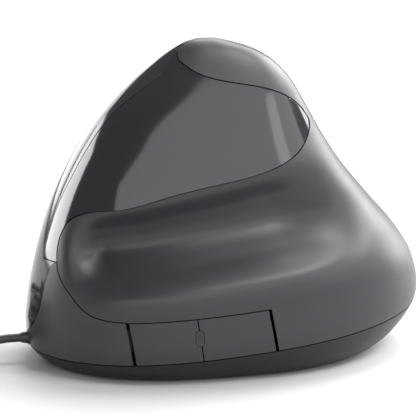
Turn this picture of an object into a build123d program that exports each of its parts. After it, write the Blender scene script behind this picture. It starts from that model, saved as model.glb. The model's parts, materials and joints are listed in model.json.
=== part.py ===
from build123d import *
import math
import os

os.makedirs("parts", exist_ok=True)

# A right-handed vertical ergonomic mouse with a cable. Nose and cable towards -X, thumb side
# towards -Y, finger side towards +Y, and the feet stand on z = 0. All lengths in millimetres.

# Overall size
body_length = 111.0
body_width = 75.5
body_height = 88.4

# Walls and gaps of the casing
wall = 2.0
base_wall = 2.2
floor_thickness = 1.8
seam_gap = 0.3
key_gap = 0.9
overrun = 60.0
foot_height = 0.8

# The seams climb from the nose to the tail: a steady rise and a sweep that grows
steady_rise = 3.3
sweep_rise = 5.2

# Rings of the skin: level, front, rear, thumb side, finger side, drift of the tail,
# as shares of height, length, length, width, width and width
ring_shares = (
    (0.052, -0.493, 0.495, -0.522, 0.452, 0.132),
    (0.090, -0.498, 0.500, -0.525, 0.458, 0.132),
    (0.136, -0.500, 0.495, -0.519, 0.440, 0.127),
    (0.181, -0.497, 0.484, -0.511, 0.413, 0.119),
    (0.226, -0.493, 0.468, -0.501, 0.387, 0.111),
    (0.283, -0.485, 0.444, -0.485, 0.363, 0.098),
    (0.351, -0.473, 0.414, -0.464, 0.336, 0.082),
    (0.430, -0.455, 0.374, -0.434, 0.305, 0.064),
    (0.520, -0.430, 0.327, -0.400, 0.262, 0.045),
    (0.611, -0.397, 0.275, -0.363, 0.212, 0.026),
    (0.701, -0.356, 0.228, -0.323, 0.154, 0.013),
    (0.792, -0.304, 0.186, -0.281, 0.087, 0.005),
    (0.871, -0.244, 0.147, -0.241, 0.024, 0.000),
    (0.933, -0.185, 0.098, -0.207, -0.026, 0.000),
    (0.970, -0.143, 0.045, -0.180, -0.065, 0.000),
    (0.990, -0.112, -0.005, -0.155, -0.097, 0.000),
    (1.000, -0.080, -0.040, -0.135, -0.115, 0.000),
)
# Flatness of the two flanks: 2 is an ellipse, more is squarer
thumb_flatness = 2.7
finger_flatness = 2.3
ring_points = 48

# The base's flat underside: front, rear, thumb side, finger side and drift of the tail
underside_shares = (-0.449, 0.362, -0.448, 0.392, 0.093)
# How round the base's flare is: 0 is straight, 1 a quarter round
flare_share = 0.55
base_rings = 6

# Levels of the rings that each surface is drawn through, as shares of the height
seam_share = 0.052
crease_share = 0.181
straight_share = 0.634
low_level_shares = (0.052, 0.090, 0.136, 0.181)
high_level_shares = (
    0.181, 0.200, 0.225, 0.250, 0.283, 0.315, 0.351, 0.390, 0.430, 0.475, 0.520, 0.565,
    0.611, 0.660, 0.701, 0.750, 0.792, 0.830, 0.871, 0.905, 0.933, 0.970, 0.990, 1.000,
)
inner_low_share = 0.052
inner_top_share = 0.920
inner_rings = 16

# The hollow for the thumb: depth, its profile from the crease (0) to the panel's edge (1), and
# how far it reaches along the flank
well_depth = 9.5
well_outer_shares = (
    (0.00, 0.00), (0.12, -0.07), (0.25, 0.00), (0.42, 0.62), (0.60, 1.00),
    (0.80, 0.70), (1.00, 0.11), (1.25, 0.00), (9.00, 0.00),
)
well_inner_shares = (
    (-0.30, 0.00), (-0.12, 0.05), (0.00, 0.12), (0.12, 0.17), (0.25, 0.32), (0.42, 0.78),
    (0.60, 1.03), (0.80, 0.93), (1.00, 0.45), (1.25, 0.14), (1.50, 0.00), (9.00, 0.00),
)
well_front_share = -0.427
well_ramp_share = 0.108
well_top_share = 0.492
well_top_front_share = -0.381
well_top_slope_share = 0.2586
well_fade_share = 0.30
well_fade_length_share = 0.65
well_side_share = 0.20

# The thumb side's seams are drawn in a plane that faces the thumb from a little in front
thumb_view_angle = 20
# From the tip of the cap down its seam, round the panel's rear corner and forward to the nose:
# along the plane as a share of the length, and height as a share of the height
panel_seam_shares = (
    (-0.078, 0.985), (-0.088, 0.959), (-0.085, 0.945), (-0.071, 0.931), (-0.051, 0.915),
    (-0.001, 0.889), (0.061, 0.872), (0.127, 0.852), (0.172, 0.821), (0.201, 0.779),
    (0.218, 0.732), (0.218, 0.705), (0.199, 0.658), (0.162, 0.628), (0.051, 0.590),
    (-0.079, 0.555), (-0.196, 0.515), (-0.297, 0.492), (-0.322, 0.473), (-0.343, 0.438),
    (-0.354, 0.390), (-0.353, 0.345),
)
# Round the front of the thumb hollow and down to the crease
cheek_seam_shares = (
    (-0.353, 0.345), (-0.338, 0.295), (-0.308, 0.255), (-0.272, 0.217), (-0.230, 0.199),
    (-0.171, 0.194), (-0.120, 0.196),
)
strip_end_share = 0.345
# The seam down the nose, seen from the front: across as a share of the width, height as a share
nose_low_shares = ((-0.060, 0.020), (-0.060, 0.089), (-0.139, 0.131), (-0.184, 0.174),
                   (-0.204, 0.221), (-0.209, 0.283), (-0.236, 0.345))
nose_high_shares = ((-0.168, 0.345), (-0.160, 0.377), (-0.155, 0.425), (-0.154, 0.511),
                    (-0.163, 0.588), (-0.166, 0.689), (-0.179, 0.800), (-0.193, 0.890),
                    (-0.150, 0.975), (-0.147, 1.100))

# The two thumb keys: slanted gaps between them, as shares of length and height
key_front_shares = ((-0.287, 0.192), (-0.271, 0.070))
key_middle_shares = ((-0.124, 0.210), (-0.109, 0.081))
key_rear_shares = ((0.051, 0.238), (0.069, 0.110))

# The window of the status light, between the keys
window_width = 2.2
window_height = 4.2
window_x_share = -0.118
window_z_share = 0.146
window_clearance = 0.12
window_depth = 7.0
light_size = 2.4

# The finger side's mechanism is built on a plane that leans with the flank
lean_angle = 25
toe_angle = 8
wheel_x_share = -0.255
wheel_y_share = 0.114
wheel_z_share = 0.611

# Wheel
wheel_radius = 10.0
wheel_width = 7.0
wheel_proud = 3.2
tyre_thickness = 1.8
tyre_ribs = 36
rib_depth = 0.35
rib_width = 0.8
rib_length = 4.6
spoke_hole_radius = 1.5
spoke_holes = 6
hub_recess = 1.2
axle_radius = 1.25
hub_boss_radius = 2.6
running_clearance = 0.05
slot_front = 11.5
slot_rear = 10.0
slot_side_gap = 1.1

# Wheel cradle
arm_thickness = 1.5
arm_gap = 0.8
arm_height = 4.0
arm_front = 3.4
tab_front = 4.6
cradle_pivot_back = 14.0
pivot_radius = 1.0
pivot_reach = 2.4
bar_length = 3.5
tab_length = 4.0
tab_reach = 6.4
tab_height = 1.6
encoder_thickness = 3.0
encoder_width = 7.0
encoder_height = 6.0
encoder_rise = 1.5

# Buttons
button_front = 14.4
button_rear = 36.2
button_top = 18.0
button_bottom = 22.0
button_corner = 4.0
slant_low = 4.0
slant_back = 5.5
palm_front = 36.6
hinge_back = 33.0
hinge_drop = 8.7
hinge_radius = 1.0
ear_radius = 2.4
ear_thickness = 2.0
ear_inner = 4.6
ear_outer = 14.6
hinge_post_thickness = 1.8
hinge_post_reach = 17.3
hinge_post_length = 4.4
actuator_size = 3.0
opening_depth = 20.0
actuator_gap = 0.3
# The palm shell's front edge over the crown, forward and up the leaning plane, as shares
crown_seam_shares = ((-0.070, 0.700), (-0.105, 0.455), (-0.150, 0.390), (-0.215, 0.335),
                     (-0.285, 0.275))
crown_join = 20.5

# Speed button behind the wheel
dpi_front = 17.0
dpi_rear = 22.5
dpi_half_width = 2.6
dpi_gap = 0.35
stem_radius = 1.2

# Snap switches, 12.8 by 5.8 by 6.5
switch_length = 12.8
switch_width = 5.8
switch_height = 6.5
plunger_length = 2.6
plunger_width = 1.3
plunger_proud = 0.8
plunger_depth = 2.0
plunger_offset = 3.0
plunger_clearance = 0.1
plunger_travel = 0.5
main_switch_back = 8.0
main_switch_side = 12.0

# Small square switches
tact_size = 6.0
tact_height = 3.5
tact_plunger_radius = 1.5
tact_plunger_proud = 0.7
tact_plunger_depth = 1.5
tact_travel = 0.35
middle_switch_front = 2.6
middle_switch_side = 10.2

# Boards and frame
board_thickness = 1.2
button_board_drop = 12.2
button_board_front = 8.0
button_board_rear = 25.0
button_board_half_width = 19.0
board_slot_half_width = 5.2
board_slot_wide = 9.0
board_slot_wide_front = 10.6
board_slot_wide_rear = 16.6
frame_standoff = 3.3
frame_thickness = 2.0
frame_front = 8.0
frame_rear = 36.0
frame_half_width = 19.1
frame_slot_half_width = 4.6
frame_slot_front = 8.0
frame_slot_rear = 8.0
standoff_radius = 1.8
standoff_inset = 3.0
frame_clearance = 0.7
board_screw_radius = 0.8
board_screw_head = 1.5
board_screw_head_height = 1.0
board_screw_length = 3.0
board_screw_slot = 0.5
screw_clearance = 0.1
leg_radius = 2.8
leg_x_shares = (-0.250, 0.030)
leg_y_share = 0.050

# Casing screws from below: places as shares of length and width
post_radius = 3.0
boss_radius = 3.4
boss_height = 5.2
screw_radius = 1.2
screw_head_radius = 2.3
screw_head_height = 1.6
screw_length = 11.0
screw_shank = 15.0
post_gap = 0.1
palm_post_shares = ((0.330, 0.060), (0.270, -0.165))
finger_post_shares = ((-0.415, 0.046), (-0.060, 0.345))

# Main board and what stands on it
main_board_front_share = -0.345
main_board_rear_share = 0.190
main_board_thumb_share = -0.245
main_board_finger_share = 0.0
main_board_height = 7.2
board_boss_radius = 2.2
board_boss_inset = 3.4
sensor_x_share = -0.060
sensor_length = 10.0
sensor_width = 8.0
sensor_height = 2.4
lens_length = 18.0
lens_width = 11.0
lens_flange = 1.4
lens_gap = 0.15
window_hole_length = 12.0
window_hole_width = 8.0
lens_foot_length = 11.0
lens_foot_width = 7.0
lens_column_radius = 2.7
led_radius = 1.5
led_length = 5.0
led_back = 12.5
led_clip_size = 4.4
led_clip_length = 6.0
led_clearance = 0.3
chip_length = 9.0
chip_width = 6.0
chip_height = 1.6
control_chip_x_share = -0.171
socket_length = 6.0
socket_width = 8.0
socket_height = 4.5
socket_inset = 9.0
socket_y_share = -0.086

# Side board behind the thumb keys
side_board_y_share = -0.325
side_board_front_share = -0.265
side_board_rear_share = 0.042
side_board_low = 6.6
side_board_high = 18.8
side_bracket_thickness = 2.0
side_bracket_foot = 4.0
key_switch_z_share = 0.130
key_switch_x_shares = (-0.200, -0.008)
side_screw_inset = 2.0

# Ribbon cables between the boards
ribbon_thickness = 0.6
ribbon_width = 8.0
ribbon_bend = 3.0
ribbon_gap = 0.2
button_ribbon_back = 10.0
button_ribbon_drop = 6.0
button_ribbon_height = 20.0
button_ribbon_y_share = -0.030
side_ribbon_x_share = -0.200
side_ribbon_rise = 5.6
side_ribbon_y_share = -0.200

# Feet
glide_corner = 3.0
front_glide_x_share = -0.330
rear_glide_x_share = 0.245
front_glide_y_share = -0.020
rear_glide_y_share = 0.045
front_glide_length = 9.0
front_glide_width = 30.0
rear_glide_length = 10.0
rear_glide_width = 26.0

# Small finger notch in the base's thumb side
notch_radius = 3.6
notch_x_share = 0.151
notch_out = 2.6
notch_drop = 3.2

# Cable and its ends
cable_diameter = 2.4
exit_y_share = -0.048
exit_height = 6.4
relief_length = 2.0
relief_wall_radius = 1.75
relief_tip_radius = 1.35
relief_neck_radius = 2.0
relief_flange_radius = 3.2
relief_flange = 1.2
relief_clearance = 0.1
# The cable's slack run from the bush (0) to the coil (1): along, across and down
run_shares = ((0.00, 0.00, 0.00), (0.30, 0.00, 0.00), (0.69, 1.00, 1.00), (1.00, 1.00, 1.00))
run_length = 26.2
run_shift = -0.3
# The free end, from the coil's end to the plug: x and y in coil radii, and height as a share
tail_shares = (
    (0.000, 0.000, 0.00), (0.340, 0.000, 0.00), (0.700, -0.330, 0.55), (0.650, -0.859, 0.95),
    (0.261, -1.171, 1.00), (-0.151, -1.171, 1.00),
)
# The lead inside, from the bush to its socket
lead_shares = ((0.00, 0.00, 0.00), (0.34, 0.00, 0.00), (0.66, 1.00, 1.00), (1.00, 1.00, 1.00))
lead_rise = 4.0
cord_run_share = 0.45
cord_lift = 0.9
coil_radius = 19.9
coil_pitch = 3.3
coil_layers = 4
steps_per_layer = 7
tie_thickness = 0.5
tie_width = 4.0
tie_side_gap = 0.7
tie_gap = 0.3

# USB plug
plug_width = 12.0
plug_height = 4.5
plug_length = 12.0
plug_sheet = 0.35
tongue_height = 1.6
tongue_gap = 0.3
overmould_length = 18.0
overmould_width = 15.4
overmould_height = 7.4
overmould_corner = 1.8
overmould_neck_length = 7.0
overmould_neck_radius = 2.4
neck_start_radius = 1.6


def step(t):
    """A smooth step from 0 to 1."""
    t = min(max(t, 0), 1)
    return t * t * (3 - 2 * t)


def smooth(rows, at, column):
    """A smooth curve through one column of a table, read at a place in its first column."""
    if at <= rows[0][0]:
        return rows[0][column]
    if at >= rows[-1][0]:
        return rows[-1][column]
    low = max(k for k in range(len(rows) - 1) if rows[k][0] <= at)

    def slope(k):
        before = rows[max(k - 1, 0)]
        after = rows[min(k + 1, len(rows) - 1)]
        return (after[column] - before[column]) / (after[0] - before[0])

    start = rows[low]
    end = rows[low + 1]
    span = end[0] - start[0]
    t = (at - start[0]) / span
    rise_part = (t ** 3 - 2 * t ** 2 + t) * slope(low) + (t ** 3 - t ** 2) * slope(low + 1)
    return start[column] + (end[column] - start[column]) * step(t) + span * rise_part


def seam_rise(x):
    """How much the seams have climbed at this place along the body."""
    along = x / body_length + 1 / 2
    return steady_rise * along + sweep_rise * along * along


def level_height(level, x):
    """Height of a level of the skin: it climbs with the seams and is flat at the crown."""
    flat = 1 - step((level - crease_share) / (straight_share - crease_share))
    return level * body_height + seam_rise(x) * flat


def level_at(x, z):
    """The level whose height at x is z."""
    low, high = 0, 1
    for _ in range(24):
        middle = (low + high) / 2
        if level_height(middle, x) < z:
            low = middle
        else:
            high = middle
    return low


def spans(level):
    """Middle and half length, middle and half width and drift of the tail, at one level."""
    front, rear, thumb, finger, tail = (smooth(ring_shares, level, k) for k in range(1, 6))
    return ((front + rear) / 2 * body_length, (rear - front) / 2 * body_length,
            (thumb + finger) / 2 * body_width, (finger - thumb) / 2 * body_width,
            tail * body_width)


def flank(level, cosine, side):
    """The skin's y where the ring's length has this cosine; side runs from -1, thumb, to 1."""
    _, _, mid_y, half_y, tail = spans(level)
    power = finger_flatness + (thumb_flatness - finger_flatness) * (1 - side) / 2
    reach = math.sqrt(max(1 - abs(cosine) ** power, 0))
    return mid_y + half_y * math.copysign(reach, side) + tail * ((1 + cosine) / 2) ** 2


def skin_point(turn, level):
    """A point of the plain skin, without the hollow for the thumb."""
    mid_x, half_x, _, _, _ = spans(level)
    cosine = math.cos(turn)
    x = mid_x + half_x * cosine
    return Vector(x, flank(level, cosine, math.sin(turn)), level_height(level, x))


def hollowed(point, turn, profile):
    """Moves a point of the skin inwards where the thumb rests."""
    side = -math.sin(turn)
    if side <= 0 or profile is None:
        return point
    along = point.X / body_length
    low = level_height(crease_share, point.X)
    high = (well_top_share + well_top_slope_share * (along - well_top_front_share)) * body_height
    up = (point.Z - low) / (high - low)
    if up <= profile[0][0]:
        return point
    fade_in = step((along - well_front_share) / well_ramp_share)
    fade_out = 1 - step((math.cos(turn) - well_fade_share) / well_fade_length_share)
    fade = fade_in * fade_out * step(side / well_side_share)
    return point + Vector(0, well_depth * smooth(profile, up, 1) * fade, 0)


def offset_point(turn, level, depth, profile):
    """A point of the skin, moved inwards by a wall, with the hollow of one profile."""
    small = 1 / 1000
    point = skin_point(turn, level)
    if depth > 0:
        around = skin_point(turn + small, level) - skin_point(turn - small, level)
        up = skin_point(turn, level + small) - skin_point(turn, level - small)
        point = point - around.cross(up).normalized() * depth
    return hollowed(point, turn, profile)


def ring(level, depth, profile, height=None):
    """One closed curve round the body, flat where a height is given."""
    points = []
    for k in range(ring_points):
        point = offset_point(2 * math.pi * k / ring_points, level, depth, profile)
        points.append(point if height is None else Vector(point.X, point.Y, height))
    shares = [k / ring_points for k in range(ring_points + 1)]
    return Wire([Edge.make_spline(points, periodic=True, parameters=shares)])


def capped(bands, low, high):
    """A solid from bands of side faces, closed by a flat face at each end."""
    faces = []
    for band in bands:
        faces += list(band.faces())
    return Solid(Shell(faces + [Face(low), Face(high)]))


def outer_solid(profile):
    """The skin as a solid, drawn on below the base seam."""
    bottom = ring(seam_share, 0, profile, -body_height * seam_share)
    low_rings = [ring(level, 0, profile) for level in low_level_shares]
    high_rings = [ring(level, 0, profile) for level in high_level_shares[:-1]]
    high_rings.append(ring(high_level_shares[-1], 0, profile, body_height))
    skirt = Shell.make_loft([bottom, low_rings[0]], ruled=True)
    bands = [skirt, Shell.make_loft(low_rings), Shell.make_loft(high_rings)]
    return capped(bands, bottom, high_rings[-1])


def inner_solid(profile, depth):
    """The space inside the skin, this deep under it."""
    bottom = ring(inner_low_share, depth, profile, -body_height * inner_top_share)
    climb = (inner_top_share - inner_low_share) / inner_rings
    rings = [ring(inner_low_share + climb * k, depth, profile) for k in range(inner_rings)]
    rings.append(ring(inner_top_share, depth, profile, inner_top_share * body_height - depth))
    skirt = Shell.make_loft([bottom, rings[0]], ruled=True)
    return capped([skirt, Shell.make_loft(rings)], bottom, rings[-1])


def edge_y(x, z, side):
    """The plain skin's y at this x and z, on the thumb side (-1) or the finger side (1)."""
    level = level_at(x, z)
    mid_x, half_x, _, _, _ = spans(level)
    cosine = min(max((x - mid_x) / half_x, -1), 1)
    sine = side * math.sqrt(1 - cosine * cosine)
    return flank(level, cosine, sine)


def inside(point):
    """Whether a point lies inside the plain skin."""
    level = level_at(point.X, point.Z)
    mid_x, half_x, _, _, _ = spans(level)
    if point.Z >= body_height or abs(point.X - mid_x) >= half_x:
        return False
    return edge_y(point.X, point.Z, -1) < point.Y < edge_y(point.X, point.Z, 1)


def way_out(point, direction):
    """How far it is from a point inside the body to the skin, along a direction."""
    low, high = 0, body_width
    for _ in range(24):
        middle = (low + high) / 2
        if inside(point + direction * middle):
            low = middle
        else:
            high = middle
    return low


def block(low, high):
    """A box between two corners."""
    size = [b - a for a, b in zip(low, high)]
    centre = [(a + b) / 2 for a, b in zip(low, high)]
    return Pos(*centre) * Box(*size)


def rod(start, end, radius):
    """A round bar between two points."""
    start = Vector(*start)
    axis = Vector(*end) - start
    plane = Plane(origin=start, z_dir=axis)
    return plane * Cylinder(radius, axis.length, align=(Align.CENTER, Align.CENTER, Align.MIN))


def cone(start, end, start_radius, end_radius):
    """A tapered bar between two points."""
    start = Vector(*start)
    axis = Vector(*end) - start
    plane = Plane(origin=start, z_dir=axis)
    ends = (Align.CENTER, Align.CENTER, Align.MIN)
    return plane * Cone(start_radius, end_radius, axis.length, align=ends)


def shifted(points, amount):
    """Moves an open curve's points to its left by an amount."""
    moved = []
    for k, (a, b) in enumerate(points):
        before = points[max(k - 1, 0)]
        after = points[min(k + 1, len(points) - 1)]
        run = (after[0] - before[0], after[1] - before[1])
        size = math.hypot(*run)
        moved.append((a - run[1] / size * amount, b + run[0] / size * amount))
    return moved


def scaled(shares, across, up):
    """Turns a table of shares into points."""
    return [(a * across, b * up) for a, b in shares]


def region(plane, curves, corners, low, high):
    """A prism: curves and corners in order round an outline on a plane, extruded both ways."""
    edges = []
    last = None
    first = None
    for points in curves:
        if last is not None:
            edges.append(Line(last, points[0]))
        edges.append(Spline(*points))
        first = first or points[0]
        last = points[-1]
    edges.append(Polyline(last, *corners, first))
    outline = make_face(edges)
    return plane * Pos(0, 0, low) * extrude(outline, amount=high - low, dir=(0, 0, 1))


def below_level(level, shift):
    """Everything under a seam that climbs with the body."""
    steps = 12
    reach = body_length
    points = []
    for k in range(steps + 1):
        x = -reach + 2 * reach * k / steps
        points.append((x, level * body_height + seam_rise(max(x, -body_length)) + shift))
    corners = [(reach, -body_height), (-reach, -body_height)]
    return region(Plane.XZ, [points], corners, -body_width, body_width)


def slanted(shares, shift, towards):
    """Everything on one side of a key's slanted end, seen from the thumb side."""
    (top_x, top_z), (low_x, low_z) = scaled(shares, body_length, body_height)
    lean = (top_x - low_x) / (top_z - low_z)
    high = (top_x + lean * (body_height - top_z) + shift, body_height)
    low = (low_x - lean * (body_height + low_z) + shift, -body_height)
    far = towards * 2 * body_length
    outline = make_face(Polyline(high, low, (far, -body_height), (far, body_height), high))
    return Plane.XZ * extrude(outline, amount=body_width, dir=(0, 0, 1))


# Planes of the thumb side's seams and of the finger side's mechanism
view = math.radians(thumb_view_angle)
thumb_plane = Plane(origin=(0, 0, 0), x_dir=(math.cos(view), -math.sin(view), 0),
                    z_dir=(-math.sin(view), -math.cos(view), 0))
lean = math.radians(lean_angle)
toe = math.radians(toe_angle)
outward = Vector(-math.sin(toe) * math.cos(lean), math.cos(toe) * math.cos(lean), math.sin(lean))
forward = Vector(0, 0, 1).cross(outward).normalized()
wheel_heart = Vector(wheel_x_share * body_length, wheel_y_share * body_width,
                     wheel_z_share * body_height)
tilted = Plane(origin=wheel_heart + outward * way_out(wheel_heart, outward),
               x_dir=forward, z_dir=outward)


def on_tilted(f, s, h):
    """A place given forward, up the slope and outward from the skin over the wheel."""
    return tilted.from_local_coords(Vector(f, s, h))


def panel_region(amount):
    """The glossy panel on the thumb side with its strip down the nose."""
    seam = shifted(scaled(panel_seam_shares, body_length, body_height), amount)
    end = strip_end_share * body_height - amount
    seam[-1] = (seam[-1][0], end)
    corners = [(-body_length, end), (-body_length, 2 * body_height),
               (seam[0][0], 2 * body_height)]
    face = region(thumb_plane, [seam], corners, 0, overrun)
    return face & nose_region(-amount, -1)


def nose_region(amount, side):
    """Everything on the thumb side (-1) or the finger side (1) of the seam down the nose."""
    low = shifted(scaled(nose_low_shares, body_width, body_height), amount)
    high = shifted(scaled(nose_high_shares, body_width, body_height), amount)
    jog = strip_end_share * body_height + amount
    low[-1] = (low[-1][0], jog)
    high[0] = (high[0][0], jog)
    far = side * body_width
    corners = [(far, high[-1][1]), (far, -body_height), (low[0][0], -body_height)]
    return region(Plane.YZ, [low, high], corners, -body_length, body_length)


def cheek_region(amount):
    """The nose piece between the nose seam, the thumb hollow and the forward key."""
    seam = shifted(scaled(cheek_seam_shares, body_length, body_height), amount)
    seam[0] = (seam[0][0], strip_end_share * body_height + amount)
    corners = [(seam[-1][0], -body_height), (-body_length, -body_height),
               (-body_length, seam[0][1])]
    face = region(thumb_plane, [seam], corners, 0, overrun)
    ahead = slanted(key_front_shares, amount - key_gap / 2 + seam_gap / 2, -1)
    return face & ahead & nose_region(-amount, -1)


def key_region(front_shares, rear_shares, front_shift, rear_shift, top_shift):
    """A thumb key between two slanted gaps, under the crease."""
    band = below_level(crease_share, top_shift)
    return band & slanted(front_shares, front_shift, 1) & slanted(rear_shares, rear_shift, -1)


def finger_region(amount):
    """The finger side's front: nose, ridge and lower flank, ahead of the palm shell."""
    seam = [(a * body_length, b * body_height) for a, b in crown_seam_shares]
    seam.append((-palm_front, crown_join))
    seam = shifted(seam, amount)
    corners = [(-palm_front - amount, -2 * body_height), (body_length, -2 * body_height),
               (body_length, seam[0][1])]
    face = region(tilted, [seam], corners, -overrun, overrun)
    return face & nose_region(amount, 1)


def tilted_block(f, s, h):
    """A box on the tilted plane, each side given as a pair of places."""
    return tilted * block((f[0], s[0], h[0]), (f[1], s[1], h[1]))


def rounded_prism(f, s, corner, low, high):
    """A rounded plate on the tilted plane between two heights."""
    outline = Pos((f[0] + f[1]) / 2, (s[0] + s[1]) / 2) * RectangleRounded(
        f[1] - f[0], s[1] - s[0], corner)
    return tilted * Pos(0, 0, low) * extrude(outline, amount=high - low)


def largest(shape):
    """The main solid of a cut shape, without slivers."""
    return max(shape.solids(), key=lambda solid: solid.volume)


# Skins and the casing's shells
half_gap = seam_gap / 2
plain_skin = outer_solid(None)
hollow_skin = outer_solid(well_outer_shares)
under_seam = below_level(seam_share, half_gap)
plain_shell = plain_skin - inner_solid(None, wall) - under_seam
hollow_shell = hollow_skin - inner_solid(well_inner_shares, wall) - under_seam
# Posts and ears end within the wall; boards and frame stay clear of it
wall_middle = inner_solid(None, wall / 2)
clear_space = inner_solid(None, wall + frame_clearance)

# Places worked out from the sizes above
seated = (Align.CENTER, Align.CENTER, Align.MIN)
floor_top = foot_height + floor_thickness
boss_top = floor_top + boss_height
board_top = main_board_height + board_thickness
deep_enough = (-opening_depth, overrun)
wheel_drop = wheel_proud - wheel_radius
side_way = on_tilted(0, 1, 0) - on_tilted(0, 0, 0)
wheel_plane = Plane(origin=on_tilted(0, 0, wheel_drop), x_dir=forward, z_dir=side_way)
hub_radius = wheel_radius - tyre_thickness
arm_inner = wheel_width / 2 + arm_gap
arm_outer = arm_inner + arm_thickness
button_press_foot = -button_board_drop + switch_height + plunger_proud + actuator_gap
tab_low = -button_board_drop + tact_height + tact_plunger_proud + actuator_gap
frame_top = -button_board_drop - board_thickness - frame_standoff
frame_low = frame_top - frame_thickness
side_board_y = side_board_y_share * body_width
side_board_x = (side_board_front_share * body_length, side_board_rear_share * body_length)
main_board_x = (main_board_front_share * body_length, main_board_rear_share * body_length)
main_board_y = (main_board_thumb_share * body_width, main_board_finger_share * body_width)
sensor_x = sensor_x_share * body_length
sensor_y = (main_board_y[0] + main_board_y[1]) / 2
led_x = sensor_x + sensor_length / 2 + led_back - led_length / 2
socket_y = socket_y_share * body_width
leg_places = [share * body_length for share in leg_x_shares]
leg_y = leg_y_share * body_width
key_switch_z = key_switch_z_share * body_height
forward_key_x, back_key_x = (share * body_length for share in key_switch_x_shares)
window_x = window_x_share * body_length
window_z = window_z_share * body_height
exit_y = exit_y_share * body_width
nose_x = -way_out(Vector(0, exit_y, exit_height), Vector(-1, 0, 0))
bush_inner_x = nose_x + wall + relief_clearance
bush_end_x = bush_inner_x + relief_flange
bush_tip = Vector(nose_x - relief_length, exit_y, exit_height)
bush_hole = rod((-body_length, exit_y, exit_height), (bush_end_x, exit_y, exit_height),
                relief_neck_radius + relief_clearance)
bush_hole += rod((bush_inner_x - relief_clearance, exit_y, exit_height),
                 (bush_end_x + relief_flange, exit_y, exit_height),
                 relief_flange_radius + relief_clearance)
coil_low = cable_diameter / 2 + cord_lift
coil_start = Vector(bush_tip.X - run_length, bush_tip.Y + run_shift, coil_low)
coil_centre = Vector(coil_start.X - cable_diameter, coil_start.Y + coil_radius, 0)
coil_end = Vector(coil_start.X, coil_centre.Y + coil_radius, coil_low + coil_pitch * (coil_layers - 1))
coil_top = coil_end.Z + cable_diameter / 2
plug_height_above = coil_top + 2 * tie_gap + tie_thickness + overmould_height / 2


def casing_screw_place(shares):
    """A casing screw's x and y."""
    return shares[0] * body_length, shares[1] * body_width


def with_posts(shell, places):
    """Adds the screw posts that hang down inside a shell and end in its wall."""
    low = boss_top + post_gap
    for shares in places:
        x, y = casing_screw_place(shares)
        post = Pos(x, y, low) * Cylinder(post_radius, body_height, align=seated)
        shell = largest(shell + largest(post & wall_middle))
        hole = Pos(x, y, low) * Cylinder(screw_radius, screw_length, align=seated)
        shell = largest(shell - hole)
    return shell


def palm_shell():
    """The big shell: cap, back, thumb hollow and the rear of the band under it."""
    shell = hollow_shell - panel_region(half_gap) - finger_region(half_gap)
    shell -= cheek_region(half_gap)
    shell -= key_region(key_front_shares, key_rear_shares, -key_gap, key_gap / 2, half_gap)
    return with_posts(largest(shell), palm_post_shares)


def thumb_panel():
    """The panel with its strip down the nose."""
    return largest(plain_shell & panel_region(-half_gap))


def front_cheek():
    """The small nose piece under the panel's strip."""
    return largest(hollow_shell & cheek_region(-half_gap) - bush_hole)


def finger_shell():
    """The finger side's fixed shell: nose, ridge and lower flank."""
    shell = largest(plain_shell & finger_region(-half_gap))
    shell = with_posts(shell, finger_post_shares)
    shell = largest(shell - button_opening(seam_gap))
    return largest(shell - bush_hole)


def button_opening(extra):
    """The opening for both buttons, its front slanted along the nose, grown by a gap."""
    back = -button_rear - button_corner
    outline = make_face(Polyline(
        (back, -button_bottom), (button_front, -button_bottom), (button_front, slant_low),
        (slant_back, button_top), (back, button_top), (back, -button_bottom)))
    outline = offset(fillet(outline.vertices(), button_corner), amount=extra)
    low, high = deep_enough
    return tilted * Pos(0, 0, low) * extrude(outline, amount=high - low, dir=(0, 0, 1))


def window_prism(clearance):
    """The upright capsule of the status window, drawn through the thumb side."""
    width = window_width + 2 * clearance
    outline = Rot(0, 0, 90) * SlotCenterToCenter(window_height - window_width, width)
    return Plane.XZ * Pos(window_x, window_z, 0) * extrude(outline, amount=body_width)


def thumb_key(front_shares, rear_shares, front_shift, rear_shift, x):
    """A thumb key with the post that presses its switch."""
    key = key_region(front_shares, rear_shares, front_shift, rear_shift, -half_gap)
    skin = largest((plain_shell & key) - window_prism(window_clearance))
    tip = side_board_y - switch_height - plunger_proud - actuator_gap
    half = actuator_size / 2
    root = edge_y(x, key_switch_z, -1) + wall / 2
    post = block((x - half, root, key_switch_z - half), (x + half, tip, key_switch_z + half))
    return largest(skin + post)


def window_depth_y():
    """Where the status window's light pipe ends."""
    return edge_y(window_x, window_z, -1) + window_depth


def indicator_window():
    """The light pipe of the status window."""
    kept = block((-body_length, -body_width, 0), (body_length, window_depth_y(), body_height))
    return largest(plain_skin & window_prism(0) & kept)


def indicator_light():
    """The small lamp behind the status window."""
    half = light_size / 2
    return block((window_x - half, window_depth_y() + actuator_gap, window_z - half),
                 (window_x + half, side_board_y, window_z + half))


def wheel_slot():
    """The slot that the wheel stands out of."""
    half = wheel_width / 2 + slot_side_gap
    return rounded_prism((-slot_rear, slot_front), (-half, half), half / 2, *deep_enough)


def dpi_prism(clearance):
    """The speed button's outline, drawn through the skin."""
    half = dpi_half_width + clearance
    return rounded_prism((-dpi_rear - clearance, -dpi_front + clearance), (-half, half),
                         half / 2, *deep_enough)


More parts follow.
